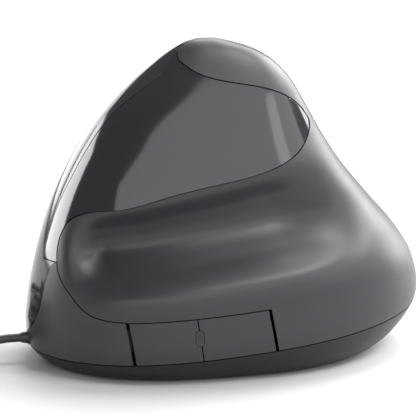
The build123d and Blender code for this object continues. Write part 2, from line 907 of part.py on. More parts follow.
def button(side):
    """A main button: its skin, two hinge ears and the post over its switch."""
    across = (-button_bottom, -half_gap) if side < 0 else (half_gap, button_top)
    area = button_opening(0) & tilted_block((-button_rear, button_front), across, deep_enough)
    skin = largest((plain_shell & area) - wheel_slot() - dpi_prism(dpi_gap))
    for place in (ear_inner, ear_outer):
        near, far = sorted((side * place, side * (place + ear_thickness)))
        rise = tilted_block((-hinge_back - ear_radius, -hinge_back + ear_radius), (near, far),
                            (-hinge_drop, overrun))
        eye = rod(on_tilted(-hinge_back, near, -hinge_drop),
                  on_tilted(-hinge_back, far, -hinge_drop), ear_radius)
        skin = largest(skin + largest(rise & wall_middle) + eye)
    skin = largest(skin - hinge_line(hinge_radius + running_clearance))
    half = actuator_size / 2
    f = -main_switch_back + plunger_offset
    s = side * main_switch_side
    post = tilted_block((f - half, f + half), (s - half, s + half), (button_press_foot, overrun))
    return largest(skin + largest(post & wall_middle))


def hinge_line(radius):
    """A round bar along the buttons' hinge, out to the frame's outer posts."""
    reach = hinge_post_reach + hinge_post_thickness
    return rod(on_tilted(-hinge_back, -reach, -hinge_drop),
               on_tilted(-hinge_back, reach, -hinge_drop), radius)


def dpi_button():
    """The speed button behind the wheel, with its stem."""
    cap = largest(plain_shell & dpi_prism(0))
    middle = -(dpi_front + dpi_rear) / 2
    stem = rod(on_tilted(middle, 0, tab_low), on_tilted(middle, 0, overrun), stem_radius)
    return largest(cap + largest(stem & wall_middle))


def underside_point(turn, share):
    """A point of the base's flared wall, from the underside (0) up to the seam (1)."""
    round_share = math.sqrt(max(1 - (1 - share) ** 2, 0))
    spread = flare_share * round_share + (1 - flare_share) * share
    sizes = (body_length, body_length, body_width, body_width, body_width)
    ends = zip(underside_shares, ring_shares[0][1:], sizes)
    front, rear, thumb, finger, tail = [(a + (b - a) * spread) * size for a, b, size in ends]
    cosine, side = math.cos(turn), math.sin(turn)
    power = finger_flatness + (thumb_flatness - finger_flatness) * (1 - side) / 2
    reach = math.copysign(math.sqrt(max(1 - abs(cosine) ** power, 0)), side)
    x = (front + rear) / 2 + (rear - front) / 2 * cosine
    y = (thumb + finger) / 2 + (finger - thumb) / 2 * reach + tail * ((1 + cosine) / 2) ** 2
    top = seam_share * body_height + seam_rise(x)
    return Vector(x, y, foot_height + (top - foot_height) * share)


def base_ring(share, depth, height=None):
    """One closed curve round the base, drawn in by a depth."""
    small = 1 / 1000
    points = []
    for k in range(ring_points):
        turn = 2 * math.pi * k / ring_points
        point = underside_point(turn, share)
        along = underside_point(turn + small, share) - underside_point(turn - small, share)
        point = point - Vector(along.Y, -along.X, 0).normalized() * depth
        points.append(point if height is None else Vector(point.X, point.Y, height))
    shares = [k / ring_points for k in range(ring_points + 1)]
    return Wire([Edge.make_spline(points, periodic=True, parameters=shares)])


def base_solid(depth):
    """The base's flared body, drawn on past the seam."""
    rings = [base_ring(0, depth, foot_height)]
    rings += [base_ring((k + 1) / base_rings, depth) for k in range(base_rings)]
    top = base_ring(1, depth, body_height)
    bands = [Shell.make_loft(rings), Shell.make_loft([rings[-1], top], ruled=True)]
    return capped(bands, rings[0], top)


def main_board_corners():
    """Places of the main board's screws."""
    xs = (main_board_x[0] + board_boss_inset, main_board_x[1] - board_boss_inset)
    ys = (main_board_y[0] + board_boss_inset, main_board_y[1] - board_boss_inset)
    return [(x, y) for x in xs for y in ys]


def floor_screw_places():
    """Places of the screws that come up through the floor."""
    places = [casing_screw_place(shares) for shares in palm_post_shares + finger_post_shares]
    return places + [(x, leg_y) for x in leg_places]


def base_shell():
    """The base: a flared tub with bosses for the screws, the board and the frame."""
    space = base_solid(base_wall) & block((-body_length, -body_width, floor_top),
                                          (body_length, body_width, body_height))
    tub = largest((base_solid(0) & below_level(seam_share, -half_gap)) - space)
    for x, y in floor_screw_places():
        tub += Pos(x, y, floor_top) * Cylinder(boss_radius, boss_height, align=seated)
    for x, y in main_board_corners():
        tub += Pos(x, y, floor_top) * Cylinder(board_boss_radius, main_board_height - floor_top,
                                               align=seated)
    head = screw_head_radius + screw_clearance
    for x, y in floor_screw_places():
        tub -= Pos(x, y, 0) * Cylinder(screw_radius + screw_clearance, body_height, align=seated)
        tub -= Pos(x, y, 0) * Cylinder(head, foot_height + screw_head_height, align=seated)
    for x, y in main_board_corners():
        tub -= Pos(x, y, floor_top) * Cylinder(board_screw_radius, body_height, align=seated)
    tub -= Pos(sensor_x, sensor_y, 0) * Box(window_hole_length, window_hole_width, 2 * floor_top)
    notch_x = notch_x_share * body_length
    notch_z = seam_share * body_height + seam_rise(notch_x) - notch_drop
    tub -= Pos(notch_x, underside_point(-math.pi / 2, 1 / 2).Y - notch_out, notch_z) * Sphere(
        notch_radius)
    return largest(tub - bush_hole)


def casing_screws():
    """The screws that come up through the floor, their heads sunk in it."""
    solids = []
    recess = 3 * screw_radius / 2
    for x, y in floor_screw_places():
        head = Pos(x, y, foot_height + screw_clearance) * Cylinder(
            screw_head_radius, screw_head_height - screw_clearance, align=seated)
        low = foot_height + screw_head_height / 2
        shank = Pos(x, y, low) * Cylinder(screw_radius - screw_clearance, screw_shank, align=seated)
        drive = Pos(x, y, foot_height + screw_clearance) * Box(recess, recess, screw_radius)
        solids.append(largest(head + shank - drive))
    return Compound(solids)


def glide(x_share, y_share, length, width):
    """A slippery foot under the base."""
    outline = Pos(x_share * body_length, y_share * body_width) * RectangleRounded(
        length, width, glide_corner)
    return extrude(outline, amount=foot_height)


def standoff_places():
    """Places of the button board's four standoffs."""
    fs = (button_board_front - standoff_inset, -button_board_rear + standoff_inset)
    side = button_board_half_width - standoff_inset / 2
    return [(f, s * side) for f in fs for s in (-1, 1)]


def inner_frame():
    """The leaning plate that carries wheel, hinges and button board, on two legs."""
    plate = rounded_prism((-frame_rear, frame_front), (-frame_half_width, frame_half_width),
                          button_corner, frame_low, frame_top) & clear_space
    for f, s in standoff_places():
        plate += rod(on_tilted(f, s, frame_low), on_tilted(f, s, frame_top + frame_standoff),
                     standoff_radius)
    half = 2 * pivot_radius
    for side in (-1, 1):
        across = sorted((side * (arm_outer + seam_gap), side * (arm_outer + pivot_reach)))
        plate += tilted_block((-cradle_pivot_back - half, -cradle_pivot_back + half), across,
                              (frame_low, wheel_drop + half))
    half = hinge_post_length / 2
    for s in (-hinge_post_reach - hinge_post_thickness, -hinge_post_thickness / 2,
              hinge_post_reach):
        plate += tilted_block((-hinge_back - half, -hinge_back + half),
                              (s, s + hinge_post_thickness),
                              (frame_low, -hinge_drop + 3 * hinge_radius / 2))
    under_plate = tilted_block((-overrun, overrun), (-overrun, overrun), (-overrun, frame_top))
    for x in leg_places:
        leg = Pos(x, leg_y, boss_top) * Cylinder(leg_radius, body_height / 2, align=seated)
        plate += largest(leg & under_plate)
    slot = frame_slot_half_width
    plate -= tilted_block((-frame_slot_rear, frame_slot_front), (-slot, slot),
                          (frame_low - frame_thickness, 0))
    plate -= hinge_line(hinge_radius + running_clearance)
    plate -= rod(on_tilted(-cradle_pivot_back, -frame_half_width, wheel_drop),
                 on_tilted(-cradle_pivot_back, frame_half_width, wheel_drop),
                 pivot_radius + running_clearance)
    for f, s in standoff_places():
        plate -= rod(on_tilted(f, s, frame_top), on_tilted(f, s, 0), board_screw_radius)
    for x in leg_places:
        plate -= Pos(x, leg_y, boss_top) * Cylinder(screw_radius, screw_length, align=seated)
    return largest(plate)


def button_board():
    """The board under the buttons, cut out round the wheel and its cradle."""
    thick = (-button_board_drop - board_thickness, -button_board_drop)
    board = tilted_block((-button_board_rear, button_board_front),
                         (-button_board_half_width, button_board_half_width), thick) & clear_space
    board -= tilted_block((-board_slot_wide_rear, slot_front),
                          (-board_slot_half_width, board_slot_half_width), thick)
    board -= tilted_block((-board_slot_wide_rear, -board_slot_wide_front),
                          (-board_slot_wide, board_slot_wide), thick)
    for f, s in standoff_places():
        board -= rod(on_tilted(f, s, thick[0]), on_tilted(f, s, 0), board_screw_radius)
    return largest(board)


def side_screw_places():
    """Places of the side board's two screws, along x and z."""
    z = side_board_high - side_screw_inset
    return [(side_board_x[0] + side_screw_inset, z), (side_board_x[1] - side_screw_inset, z)]


def board_screws():
    """Small screws that hold the three boards."""
    seats = [(on_tilted(f, s, -button_board_drop), outward) for f, s in standoff_places()]
    seats += [(Vector(x, y, board_top), Vector(0, 0, 1)) for x, y in main_board_corners()]
    seats += [(Vector(x, side_board_y, z), Vector(0, -1, 0)) for x, z in side_screw_places()]
    solids = []
    for seat, away in seats:
        top = seat + away * board_screw_head_height
        tip = seat - away * board_screw_length
        screw = rod(seat, top, board_screw_head) + rod(tip, seat, board_screw_radius - screw_clearance)
        slot = Plane(origin=top, z_dir=away) * Box(2 * board_screw_head, board_screw_slot,
                                                   board_screw_head_height)
        solids.append(largest(screw - slot))
    return Compound(solids)


def snap_plunger_block(clearance, low):
    """A snap switch's plunger from a depth up past the case, with a clearance round it."""
    half_length = plunger_length / 2 + clearance
    half_width = plunger_width / 2 + clearance
    return block((plunger_offset - half_length, -half_width, low),
                 (plunger_offset + half_length, half_width, switch_height + plunger_proud))


def snap_switch(plane):
    """A snap switch's case on a plane, with its plunger's well."""
    half_length = switch_length / 2
    half_width = switch_width / 2
    case = block((-half_length, -half_width, 0), (half_length, half_width, switch_height))
    low = switch_height - plunger_depth - plunger_travel - plunger_clearance
    return plane * largest(case - snap_plunger_block(plunger_clearance, low))


def snap_plunger(plane):
    """A snap switch's plunger."""
    return plane * snap_plunger_block(0, switch_height - plunger_depth)


def tact_switch(plane):
    """A small square switch's case, with its plunger's well."""
    half = tact_size / 2
    case = block((-half, -half, 0), (half, half, tact_height))
    low = tact_height - tact_plunger_depth - tact_travel - plunger_clearance
    well = Pos(0, 0, low) * Cylinder(tact_plunger_radius + plunger_clearance, tact_height,
                                     align=seated)
    return plane * largest(case - well)


def tact_plunger(plane):
    """A small square switch's plunger."""
    low = tact_height - tact_plunger_depth
    length = tact_plunger_depth + tact_plunger_proud
    return plane * Pos(0, 0, low) * Cylinder(tact_plunger_radius, length, align=seated)


def tilted_seat(f, s):
    """A plane on the button board, x forward."""
    return Plane(origin=on_tilted(f, s, -button_board_drop), x_dir=forward, z_dir=outward)


def side_seat(x):
    """A plane on the side board for the switch whose plunger is at x."""
    return Plane(origin=(x - plunger_offset, side_board_y, key_switch_z),
                 x_dir=(1, 0, 0), z_dir=(0, -1, 0))


def wheel_tyre():
    """The rubber tyre with its ribs."""
    band = Cylinder(wheel_radius, wheel_width) - Cylinder(hub_radius, wheel_width)
    circles = band.edges().filter_by(GeomType.CIRCLE)
    rims = [edge for edge in circles if edge.radius > (wheel_radius + hub_radius) / 2]
    band = fillet(rims, tyre_thickness / 2)
    for k in range(tyre_ribs):
        groove = Pos(wheel_radius, 0, 0) * Box(2 * rib_depth, rib_width, rib_length)
        band -= Rot(0, 0, 360 * k / tyre_ribs) * groove
    return wheel_plane * largest(band)


def wheel_hub():
    """The wheel's hub with its axle."""
    hub = Cylinder(hub_radius, wheel_width)
    for side in (-1, 1):
        ring_cut = Cylinder(hub_radius - hub_recess, 2 * hub_recess) - Cylinder(
            hub_boss_radius, 2 * hub_recess)
        hub -= Pos(0, 0, side * wheel_width / 2) * ring_cut
    for k in range(spoke_holes):
        hole = Pos((hub_radius + hub_boss_radius - hub_recess) / 2, 0, 0) * Cylinder(
            spoke_hole_radius, wheel_width)
        hub -= Rot(0, 0, 360 * k / spoke_holes) * hole
    return wheel_plane * largest(hub + Cylinder(axle_radius, 2 * arm_outer))


def wheel_cradle():
    """The pivoting fork that holds the wheel and presses the middle switch."""
    half = arm_height / 2
    thick = (wheel_drop - half, wheel_drop + half)
    back = -cradle_pivot_back - half
    fork = tilted_block((back, back + bar_length), (-arm_outer, arm_outer), thick)
    for side in (-1, 1):
        fork += tilted_block((back, arm_front), sorted((side * arm_inner, side * arm_outer)), thick)
        fork += rod(on_tilted(-cradle_pivot_back, side * arm_inner, wheel_drop),
                    on_tilted(-cradle_pivot_back, side * (arm_outer + pivot_reach), wheel_drop),
                    pivot_radius)
    fork += tilted_block((tab_front - tab_length, tab_front), (-arm_outer - tab_reach, -arm_inner),
                         (tab_low, tab_low + tab_height))
    fork -= rod(on_tilted(0, -overrun, wheel_drop), on_tilted(0, overrun, wheel_drop),
                axle_radius + running_clearance)
    return largest(fork)


def encoder():
    """The encoder on the cradle's upper arm."""
    half = encoder_width / 2
    top = wheel_drop + encoder_rise
    return tilted_block((-half, half), (arm_outer, arm_outer + encoder_thickness),
                        (top - encoder_height, top))


def main_board():
    """The board over the floor, open under the sensor."""
    board = block((main_board_x[0], main_board_y[0], main_board_height),
                  (main_board_x[1], main_board_y[1], board_top))
    board -= Pos(sensor_x, sensor_y, board_top) * Box(sensor_length / 2, sensor_width / 2,
                                                      3 * board_thickness)
    for x, y in main_board_corners():
        board -= Pos(x, y, main_board_height) * Cylinder(board_screw_radius, 3 * board_thickness)
    return largest(board)


def on_main_board(x, y, length, width, height):
    """A box that stands on the main board."""
    return Pos(x, y, board_top) * Box(length, width, height, align=seated)


def sensor_lens():
    """The clear lens between the floor's window and the sensor."""
    low = floor_top + lens_gap
    foot_low = foot_height + floor_thickness / 2
    lens = Pos(sensor_x, sensor_y, low) * Box(lens_length, lens_width, lens_flange, align=seated)
    lens += Pos(sensor_x, sensor_y, low) * Cylinder(
        lens_column_radius, main_board_height - lens_gap - low, align=seated)
    lens += Pos(sensor_x, sensor_y, foot_low) * Box(
        lens_foot_length, lens_foot_width, low - foot_low, align=seated)
    return largest(lens)


def sensor_led():
    """The sensor's lamp, lying on the main board and pointing at the sensor."""
    z = board_top + led_clip_size / 2
    return rod((led_x - led_length / 2, sensor_y, z), (led_x + led_length / 2, sensor_y, z),
               led_radius)


def led_clip():
    """The plastic clip round the lamp."""
    clip = on_main_board(led_x, sensor_y, led_clip_length, led_clip_size, led_clip_size)
    z = board_top + led_clip_size / 2
    bore = rod((led_x - led_clip_length, sensor_y, z), (led_x + led_clip_length, sensor_y, z),
               led_radius + led_clearance)
    return largest(clip - bore)


def cable_socket():
    """The socket of the cable's lead on the main board."""
    return on_main_board(main_board_x[0] + socket_inset, socket_y, socket_length, socket_width,
                         socket_height)


def side_holes(part):
    """Drills the side board's screw holes through a part."""
    for x, z in side_screw_places():
        hole = extrude(Circle(board_screw_radius), amount=body_width)
        part -= Plane.XZ * Pos(x, z, 0) * hole
    return largest(part)


def side_board():
    """The upright board with the thumb switches."""
    return side_holes(block((side_board_x[0], side_board_y, side_board_low),
                            (side_board_x[1], side_board_y + board_thickness, side_board_high)))


def side_bracket():
    """The upright bracket behind the side board, with its foot on the floor."""
    back = side_board_y + board_thickness
    upright = block((side_board_x[0], back, floor_top),
                    (side_board_x[1], back + side_bracket_thickness, side_board_high))
    foot = block((side_board_x[0], back - side_bracket_foot, floor_top),
                 (side_board_x[1], back, floor_top + side_bracket_thickness))
    return side_holes(upright + foot)


def ribbon(points, across):
    """A flat ribbon along a bent line; across is the way its width lies."""
    start, second = Vector(*points[0]), Vector(*points[1])
    section = Plane(origin=start, z_dir=second - start, x_dir=across) * Rectangle(
        ribbon_width, ribbon_thickness)
    return largest(sweep(section, path=FilletPolyline(*points, radius=ribbon_bend)))


def button_ribbon():
    """The ribbon from the button board down to the main board."""
    middle = -button_board_drop - board_thickness / 2
    start = on_tilted(-button_ribbon_back, -button_board_half_width - ribbon_gap, middle)
    below = start - side_way * button_ribbon_drop
    level = Vector(below.X, below.Y, button_ribbon_height)
    inward = Vector(outward.X, outward.Y, 0)
    reach = (below.Y - button_ribbon_y_share * body_width) / outward.Y
    over = level - inward * reach
    foot = Vector(over.X, over.Y, board_top + ribbon_gap)
    return ribbon([start, below, level, over, foot], forward)


def side_ribbon():
    """The ribbon from the side board's top edge over to the main board."""
    x = side_ribbon_x_share * body_length
    y = side_board_y + board_thickness / 2
    far = side_ribbon_y_share * body_width
    top = side_board_high + side_ribbon_rise
    return ribbon([(x, y, side_board_high + ribbon_gap), (x, y, top), (x, far, top),
                   (x, far, board_top + ribbon_gap)], (1, 0, 0))


def cable_bush():
    """The rubber bush where the cable leaves the nose."""
    body = cone(bush_tip, (nose_x, exit_y, exit_height), relief_tip_radius, relief_wall_radius)
    body += rod((nose_x, exit_y, exit_height), (bush_inner_x, exit_y, exit_height),
                relief_neck_radius)
    body += rod((bush_inner_x, exit_y, exit_height), (bush_end_x, exit_y, exit_height),
                relief_flange_radius)
    return largest(body)


def cord_tube(name, points):
    """A round tube along straight runs joined by arcs as large as the runs allow."""
    radii = []
    for k in range(1, len(points) - 1):
        back = points[k] - points[k - 1]
        ahead = points[k + 1] - points[k]
        turn = math.radians(back.get_angle(ahead))
        radii.append(cord_run_share * min(back.length, ahead.length) / math.tan(turn / 2))
    print(name, "radii", [round(radius, 1) for radius in radii])
    path = FilletPolyline(*points, radius=radii)
    section = Plane(origin=points[0], z_dir=points[1] - points[0]) * Circle(cable_diameter / 2)
    tube = largest(sweep(section, path=path))
    expected = math.pi * (cable_diameter / 2) ** 2 * path.length
    print(name, "length", round(path.length, 1), "volume share", round(tube.volume / expected, 4))
    return tube


def run_route():
    """The cable's slack run from the bush to the coil."""
    reach = coil_start - bush_tip
    return [bush_tip + Vector(reach.X * a, reach.Y * b, reach.Z * c) for a, b, c in run_shares]


def tail_route():
    """The cable's free end, from the coil up on top of it to the plug."""
    rise = plug_height_above - coil_end.Z
    return [coil_end + Vector(coil_radius * a, coil_radius * b, rise * c)
            for a, b, c in tail_shares]


def lead_route():
    """The cable inside, from the bush to its socket."""
    start = Vector(bush_end_x, exit_y, exit_height)
    end = Vector(main_board_x[0] + socket_inset - socket_length / 2, socket_y,
                 exit_height + lead_rise)
    reach = end - start
    return [start + Vector(reach.X * a, reach.Y * b, reach.Z * c) for a, b, c in lead_shares]


def coil_stations():
    """Radius and height at each half turn of the coil: layers in and out, climbing between."""
    stations = []
    radius = coil_radius
    for layer in range(coil_layers):
        height = coil_low + coil_pitch * layer
        way = -1 if layer % 2 == 0 else 1
        stations.append((radius, height))
        for _ in range(steps_per_layer):
            radius += way * coil_pitch / 2
            stations.append((radius, height))
    return stations


def coil_edges():
    """The coil's centre line: a straight end, two arcs to each half turn and a straight end."""
    points = []
    for k, (radius, height) in enumerate(coil_stations()):
        side = -1 if k % 2 == 0 else 1
        points.append(coil_centre + Vector(0, side * radius, height))
    edges = [Line(coil_start, points[0])]
    for k, (a, b) in enumerate(zip(points, points[1:])):
        heading = Vector(-1 if k % 2 == 0 else 1, 0, 0)
        joint = (a + b) / 2 + heading * (b - a).length / 2
        edges.append(TangentArc(a, joint, tangent=heading))
        edges.append(TangentArc(joint, b, tangent=(b - a).normalized()))
    edges.append(Line(points[-1], coil_end))
    return edges


def coil_gap(edges):
    """The least gap between two stretches of the coil, measured on points."""
    samples = []
    travelled = 0
    for edge in edges:
        count = max(int(2 * edge.length / cable_diameter), 1)
        for k in range(count):
            point = edge.position_at(k / count)
            samples.append((travelled + edge.length * k / count, (point.X, point.Y, point.Z)))
        travelled += edge.length
    least = body_length
    for k, (way, point) in enumerate(samples):
        for other_way, other in samples[k + 1:]:
            if other_way - way > 3 * cable_diameter:
                least = min(least, math.dist(point, other))
    return least - cable_diameter


def cable_coil():
    """The stored cable: one unbroken tube in four layers of turns."""
    edges = coil_edges()
    length = sum(edge.length for edge in edges)
    section = Plane(origin=coil_start, z_dir=(-1, 0, 0)) * Circle(cable_diameter / 2)
    tube = largest(sweep(section, path=Wire(edges)))
    expected = math.pi * (cable_diameter / 2) ** 2 * length
    print("coil length", round(length, 1), "least gap", round(coil_gap(edges), 2),
          "volume share", round(tube.volume / expected, 4))
    return tube


def coil_tie():
    """The band round the coil's turns, on its west side."""
    outer_turn = coil_radius - coil_pitch / 4
    inner_turn = coil_radius - coil_pitch / 2 * (steps_per_layer - 1 / 2)
    wide = outer_turn - inner_turn + cable_diameter + 2 * tie_side_gap
    tall = coil_top - coil_low + cable_diameter / 2 + 2 * tie_gap
    middle = Vector(coil_centre.X - (outer_turn + inner_turn) / 2, coil_centre.Y,
                    coil_low - cable_diameter / 2 - tie_gap + tall / 2)
    band = Box(wide + 2 * tie_thickness, tie_width, tall + 2 * tie_thickness)
    return Pos(*middle) * largest(band - Box(wide, 2 * tie_width, tall))


def plug_overmould():
    """The plug's plastic grip with its tapered neck."""
    neck = cone((0, 0, 0), (0, 0, overmould_neck_length), neck_start_radius,
                overmould_neck_radius)
    grip = RectangleRounded(overmould_width, overmould_height, overmould_corner)
    body = Pos(0, 0, overmould_neck_length) * extrude(grip, amount=overmould_length)
    return plug_plane * largest(neck + body)


def plug_shell():
    """The plug's sheet metal shell."""
    outer = Box(plug_width, plug_height, plug_length, align=seated)
    inner = Box(plug_width - 2 * plug_sheet, plug_height - 2 * plug_sheet, plug_length,
                align=seated)
    return plug_plane * Pos(0, 0, plug_root) * largest(outer - inner)


def plug_tongue():
    """The plug's insulating tongue."""
    width = plug_width - 2 * plug_sheet - 2 * tongue_gap
    drop = (plug_height - tongue_height) / 2 - plug_sheet - tongue_gap
    bar = Box(width, tongue_height, plug_length - tongue_gap, align=seated)
    return plug_plane * Pos(0, -drop, plug_root) * bar


# The plug's place, and the seats of the switches
plug_plane = Plane(origin=tail_route()[-1], z_dir=(-1, 0, 0), x_dir=(0, 1, 0))
plug_root = overmould_neck_length + overmould_length
left_seat = tilted_seat(-main_switch_back, main_switch_side)
right_seat = tilted_seat(-main_switch_back, -main_switch_side)
middle_seat = tilted_seat(middle_switch_front, -middle_switch_side)
dpi_seat = tilted_seat(-(dpi_front + dpi_rear) / 2, 0)
forward_seat = side_seat(forward_key_x)
back_seat = side_seat(back_key_x)

parts = {
    "base_shell": base_shell(),
    "front_glide": glide(front_glide_x_share, front_glide_y_share, front_glide_length,
                         front_glide_width),
    "rear_glide": glide(rear_glide_x_share, rear_glide_y_share, rear_glide_length,
                        rear_glide_width),
    "casing_screws": casing_screws(),
    "palm_shell": palm_shell(),
    "thumb_panel": thumb_panel(),
    "finger_shell": finger_shell(),
    "front_cheek": front_cheek(),
    "forward_key": thumb_key(key_front_shares, key_middle_shares, key_gap / 2, -half_gap,
                             forward_key_x),
    "back_key": thumb_key(key_middle_shares, key_rear_shares, half_gap, -key_gap / 2,
                          back_key_x),
    "indicator_window": indicator_window(),
    "indicator_light": indicator_light(),
    "left_button": button(1),
    "right_button": button(-1),
    "dpi_button": dpi_button(),
    "wheel_hub": wheel_hub(),
    "wheel_tyre": wheel_tyre(),
    "wheel_cradle": wheel_cradle(),
    "encoder": encoder(),
    "hinge_rod": hinge_line(hinge_radius),
    "inner_frame": inner_frame(),
    "board_screws": board_screws(),
    "main_board": main_board(),
    "sensor_chip": on_main_board(sensor_x, sensor_y, sensor_length, sensor_width, sensor_height),
    "sensor_lens": sensor_lens(),
    "sensor_led": sensor_led(),
    "led_clip": led_clip(),
    "control_chip": on_main_board(control_chip_x_share * body_length, sensor_y, chip_length,
                                  chip_width, chip_height),
    "cable_socket": cable_socket(),
    "button_board": button_board(),
    "side_board": side_board(),
    "side_bracket": side_bracket(),
    "left_switch": snap_switch(left_seat),
    "left_plunger": snap_plunger(left_seat),
    "right_switch": snap_switch(right_seat),
    "right_plunger": snap_plunger(right_seat),
    "middle_switch": tact_switch(middle_seat),
    "middle_plunger": tact_plunger(middle_seat),
    "dpi_switch": tact_switch(dpi_seat),
    "dpi_plunger": tact_plunger(dpi_seat),
    "forward_switch": snap_switch(forward_seat),
    "forward_plunger": snap_plunger(forward_seat),
    "back_switch": snap_switch(back_seat),
    "back_plunger": snap_plunger(back_seat),
    "button_ribbon": button_ribbon(),
    "side_ribbon": side_ribbon(),
    "inner_lead": cord_tube("lead", lead_route()),
    "cable_bush": cable_bush(),
    "cable_run": cord_tube("run", run_route()),
    "cable_coil": cable_coil(),
    "cable_tail": cord_tube("tail", tail_route()),
    "coil_tie": coil_tie(),
    "plug_shell": plug_shell(),
    "plug_tongue": plug_tongue(),
    "plug_overmould": plug_overmould(),
}
for name, part in parts.items():
    export_step(part, f"parts/{name}.step")
print(len(parts), "nodes")
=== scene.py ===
"""The looks of a vertical ergonomic mouse: casing skins, plastics, cable, stage and lights.

The file is laid out as a Blender add-on and run as a script. Distances are metres, and the
casing's table of sizes is in shares of its length, width and height.
"""

import json
import math

import bpy
import numpy as np
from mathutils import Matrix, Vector

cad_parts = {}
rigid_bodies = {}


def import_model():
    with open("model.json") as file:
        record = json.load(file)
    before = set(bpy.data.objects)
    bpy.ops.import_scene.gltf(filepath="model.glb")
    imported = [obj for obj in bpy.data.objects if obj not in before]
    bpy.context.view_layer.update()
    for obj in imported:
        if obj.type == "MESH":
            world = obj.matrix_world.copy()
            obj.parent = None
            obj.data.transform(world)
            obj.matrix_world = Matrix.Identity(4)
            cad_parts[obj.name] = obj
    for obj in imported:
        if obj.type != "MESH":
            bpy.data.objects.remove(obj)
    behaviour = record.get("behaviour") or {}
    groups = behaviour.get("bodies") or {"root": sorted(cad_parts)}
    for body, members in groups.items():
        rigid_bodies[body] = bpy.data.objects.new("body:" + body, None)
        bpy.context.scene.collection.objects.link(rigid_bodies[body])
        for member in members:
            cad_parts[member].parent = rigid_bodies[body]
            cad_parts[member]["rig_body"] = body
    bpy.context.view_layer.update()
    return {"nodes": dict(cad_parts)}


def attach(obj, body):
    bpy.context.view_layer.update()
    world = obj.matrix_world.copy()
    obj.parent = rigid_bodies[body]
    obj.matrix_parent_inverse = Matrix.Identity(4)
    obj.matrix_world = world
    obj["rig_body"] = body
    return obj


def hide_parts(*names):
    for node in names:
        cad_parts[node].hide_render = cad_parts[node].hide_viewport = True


bl_info = {
    "name": "Vertical mouse",
    "version": (1, 0, 0),
    "blender": (4, 5, 0),
    "location": "3D View > Sidebar > Mouse",
    "description": "Dresses the frame of a vertical ergonomic mouse",
    "category": "Object",
}

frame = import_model()

PHOTO_PIXELS = 416
MM = 0.001
LOOK = "look "  # starts every material's name, apart from those that the frame brings

# Rings of the casing's skin: level, front, rear, thumb side, finger side, drift of the tail
BODY = Vector((0.1110, 0.0755, 0.0884))
RINGS = (
    (0.052, -0.493, 0.495, -0.522, 0.452, 0.132),
    (0.090, -0.498, 0.500, -0.525, 0.458, 0.132),
    (0.136, -0.500, 0.495, -0.519, 0.440, 0.127),
    (0.181, -0.497, 0.484, -0.511, 0.413, 0.119),
    (0.226, -0.493, 0.468, -0.501, 0.387, 0.111),
    (0.283, -0.485, 0.444, -0.485, 0.363, 0.098),
    (0.351, -0.473, 0.414, -0.464, 0.336, 0.082),
    (0.430, -0.455, 0.374, -0.434, 0.305, 0.064),
    (0.520, -0.430, 0.327, -0.400, 0.262, 0.045),
    (0.611, -0.397, 0.275, -0.363, 0.212, 0.026),
    (0.701, -0.356, 0.228, -0.323, 0.154, 0.013),
    (0.792, -0.304, 0.186, -0.281, 0.087, 0.005),
    (0.871, -0.244, 0.147, -0.241, 0.024, 0.000),
    (0.933, -0.185, 0.098, -0.207, -0.026, 0.000),
    (0.970, -0.143, 0.045, -0.180, -0.065, 0.000),
    (0.990, -0.112, -0.005, -0.155, -0.097, 0.000),
    (1.000, -0.080, -0.040, -0.135, -0.115, 0.000),
)
THUMB_FLATNESS = 2.7
FINGER_FLATNESS = 2.3
STEADY_RISE = 0.0033
SWEEP_RISE = 0.0052
CREASE = 0.181
STRAIGHT = 0.634

# The hollow for the thumb: its depth, its profile upwards from the crease, and its ends
WELL_DEPTH = 0.0095
WELL = (
    (0.00, 0.00), (0.12, -0.07), (0.25, 0.00), (0.42, 0.62), (0.60, 1.00),
    (0.80, 0.70), (1.00, 0.11), (1.25, 0.00), (9.00, 0.00),
)
WELL_FRONT = -0.427
WELL_RAMP = 0.108
WELL_TOP = 0.492
WELL_TOP_FRONT = -0.381
WELL_TOP_SLOPE = 0.2586
WELL_FADE = 0.30
WELL_FADE_LENGTH = 0.65
WELL_SIDE = 0.20

# The cable's route: from the nose to the coil, the coil, and its end up to the plug
RUN = (
    (-0.05703, -0.00362, 0.0064), (-0.06489, -0.00362, 0.0064), (-0.07511, -0.00392, 0.0021),
    (-0.08323, -0.00392, 0.0021),
)
COIL_MIDDLE = (-0.08563, 0.01598)
COIL_RADIUS = 0.0199
COIL_PITCH = 0.0033
COIL_LOW = 0.0021
COIL_LAYERS = 4
HALF_TURNS = 7
POINTS_PER_HALF_TURN = 8
TAIL = (
    (-0.08323, 0.03588, 0.0120), (-0.07646, 0.03588, 0.0120), (-0.06930, 0.02931, 0.0153),
    (-0.07029, 0.01878, 0.0177), (-0.07803, 0.01257, 0.0180), (-0.08623, 0.01257, 0.0180),
)

# Each soft box's place and size; the property of its name holds its power
SOFT_BOXES = {
    "thumb": ((0.10, -1.00, 0.48), (2.4, 0.64)),
    "side": ((1.05, -0.47, 0.42), (0.8, 0.5)),
    "rear": ((0.93, 0.37, 0.72), (1.0, 0.5)),
    "crown": ((0.30, 0.52, 1.09), (0.7, 0.6)),
    "tongue": ((0.50, -0.46, 1.06), (0.6, 0.4)),
    "tail": ((1.02, 0.62, 0.30), (0.6, 0.5)),
    "nose": ((-1.02, 0.59, 0.32), (0.6, 0.56)),
    "far": ((-0.25, 1.13, 0.40), (1.3, 0.7)),
}

# How skin normals are found: halvings and steps of the search, and cosines of angles
HALVINGS = 24
SKIN_STEP = 0.002
SAME_WAY = 0.8
SMOOTH_EDGE = 0.86
WELD = 0.005 * MM

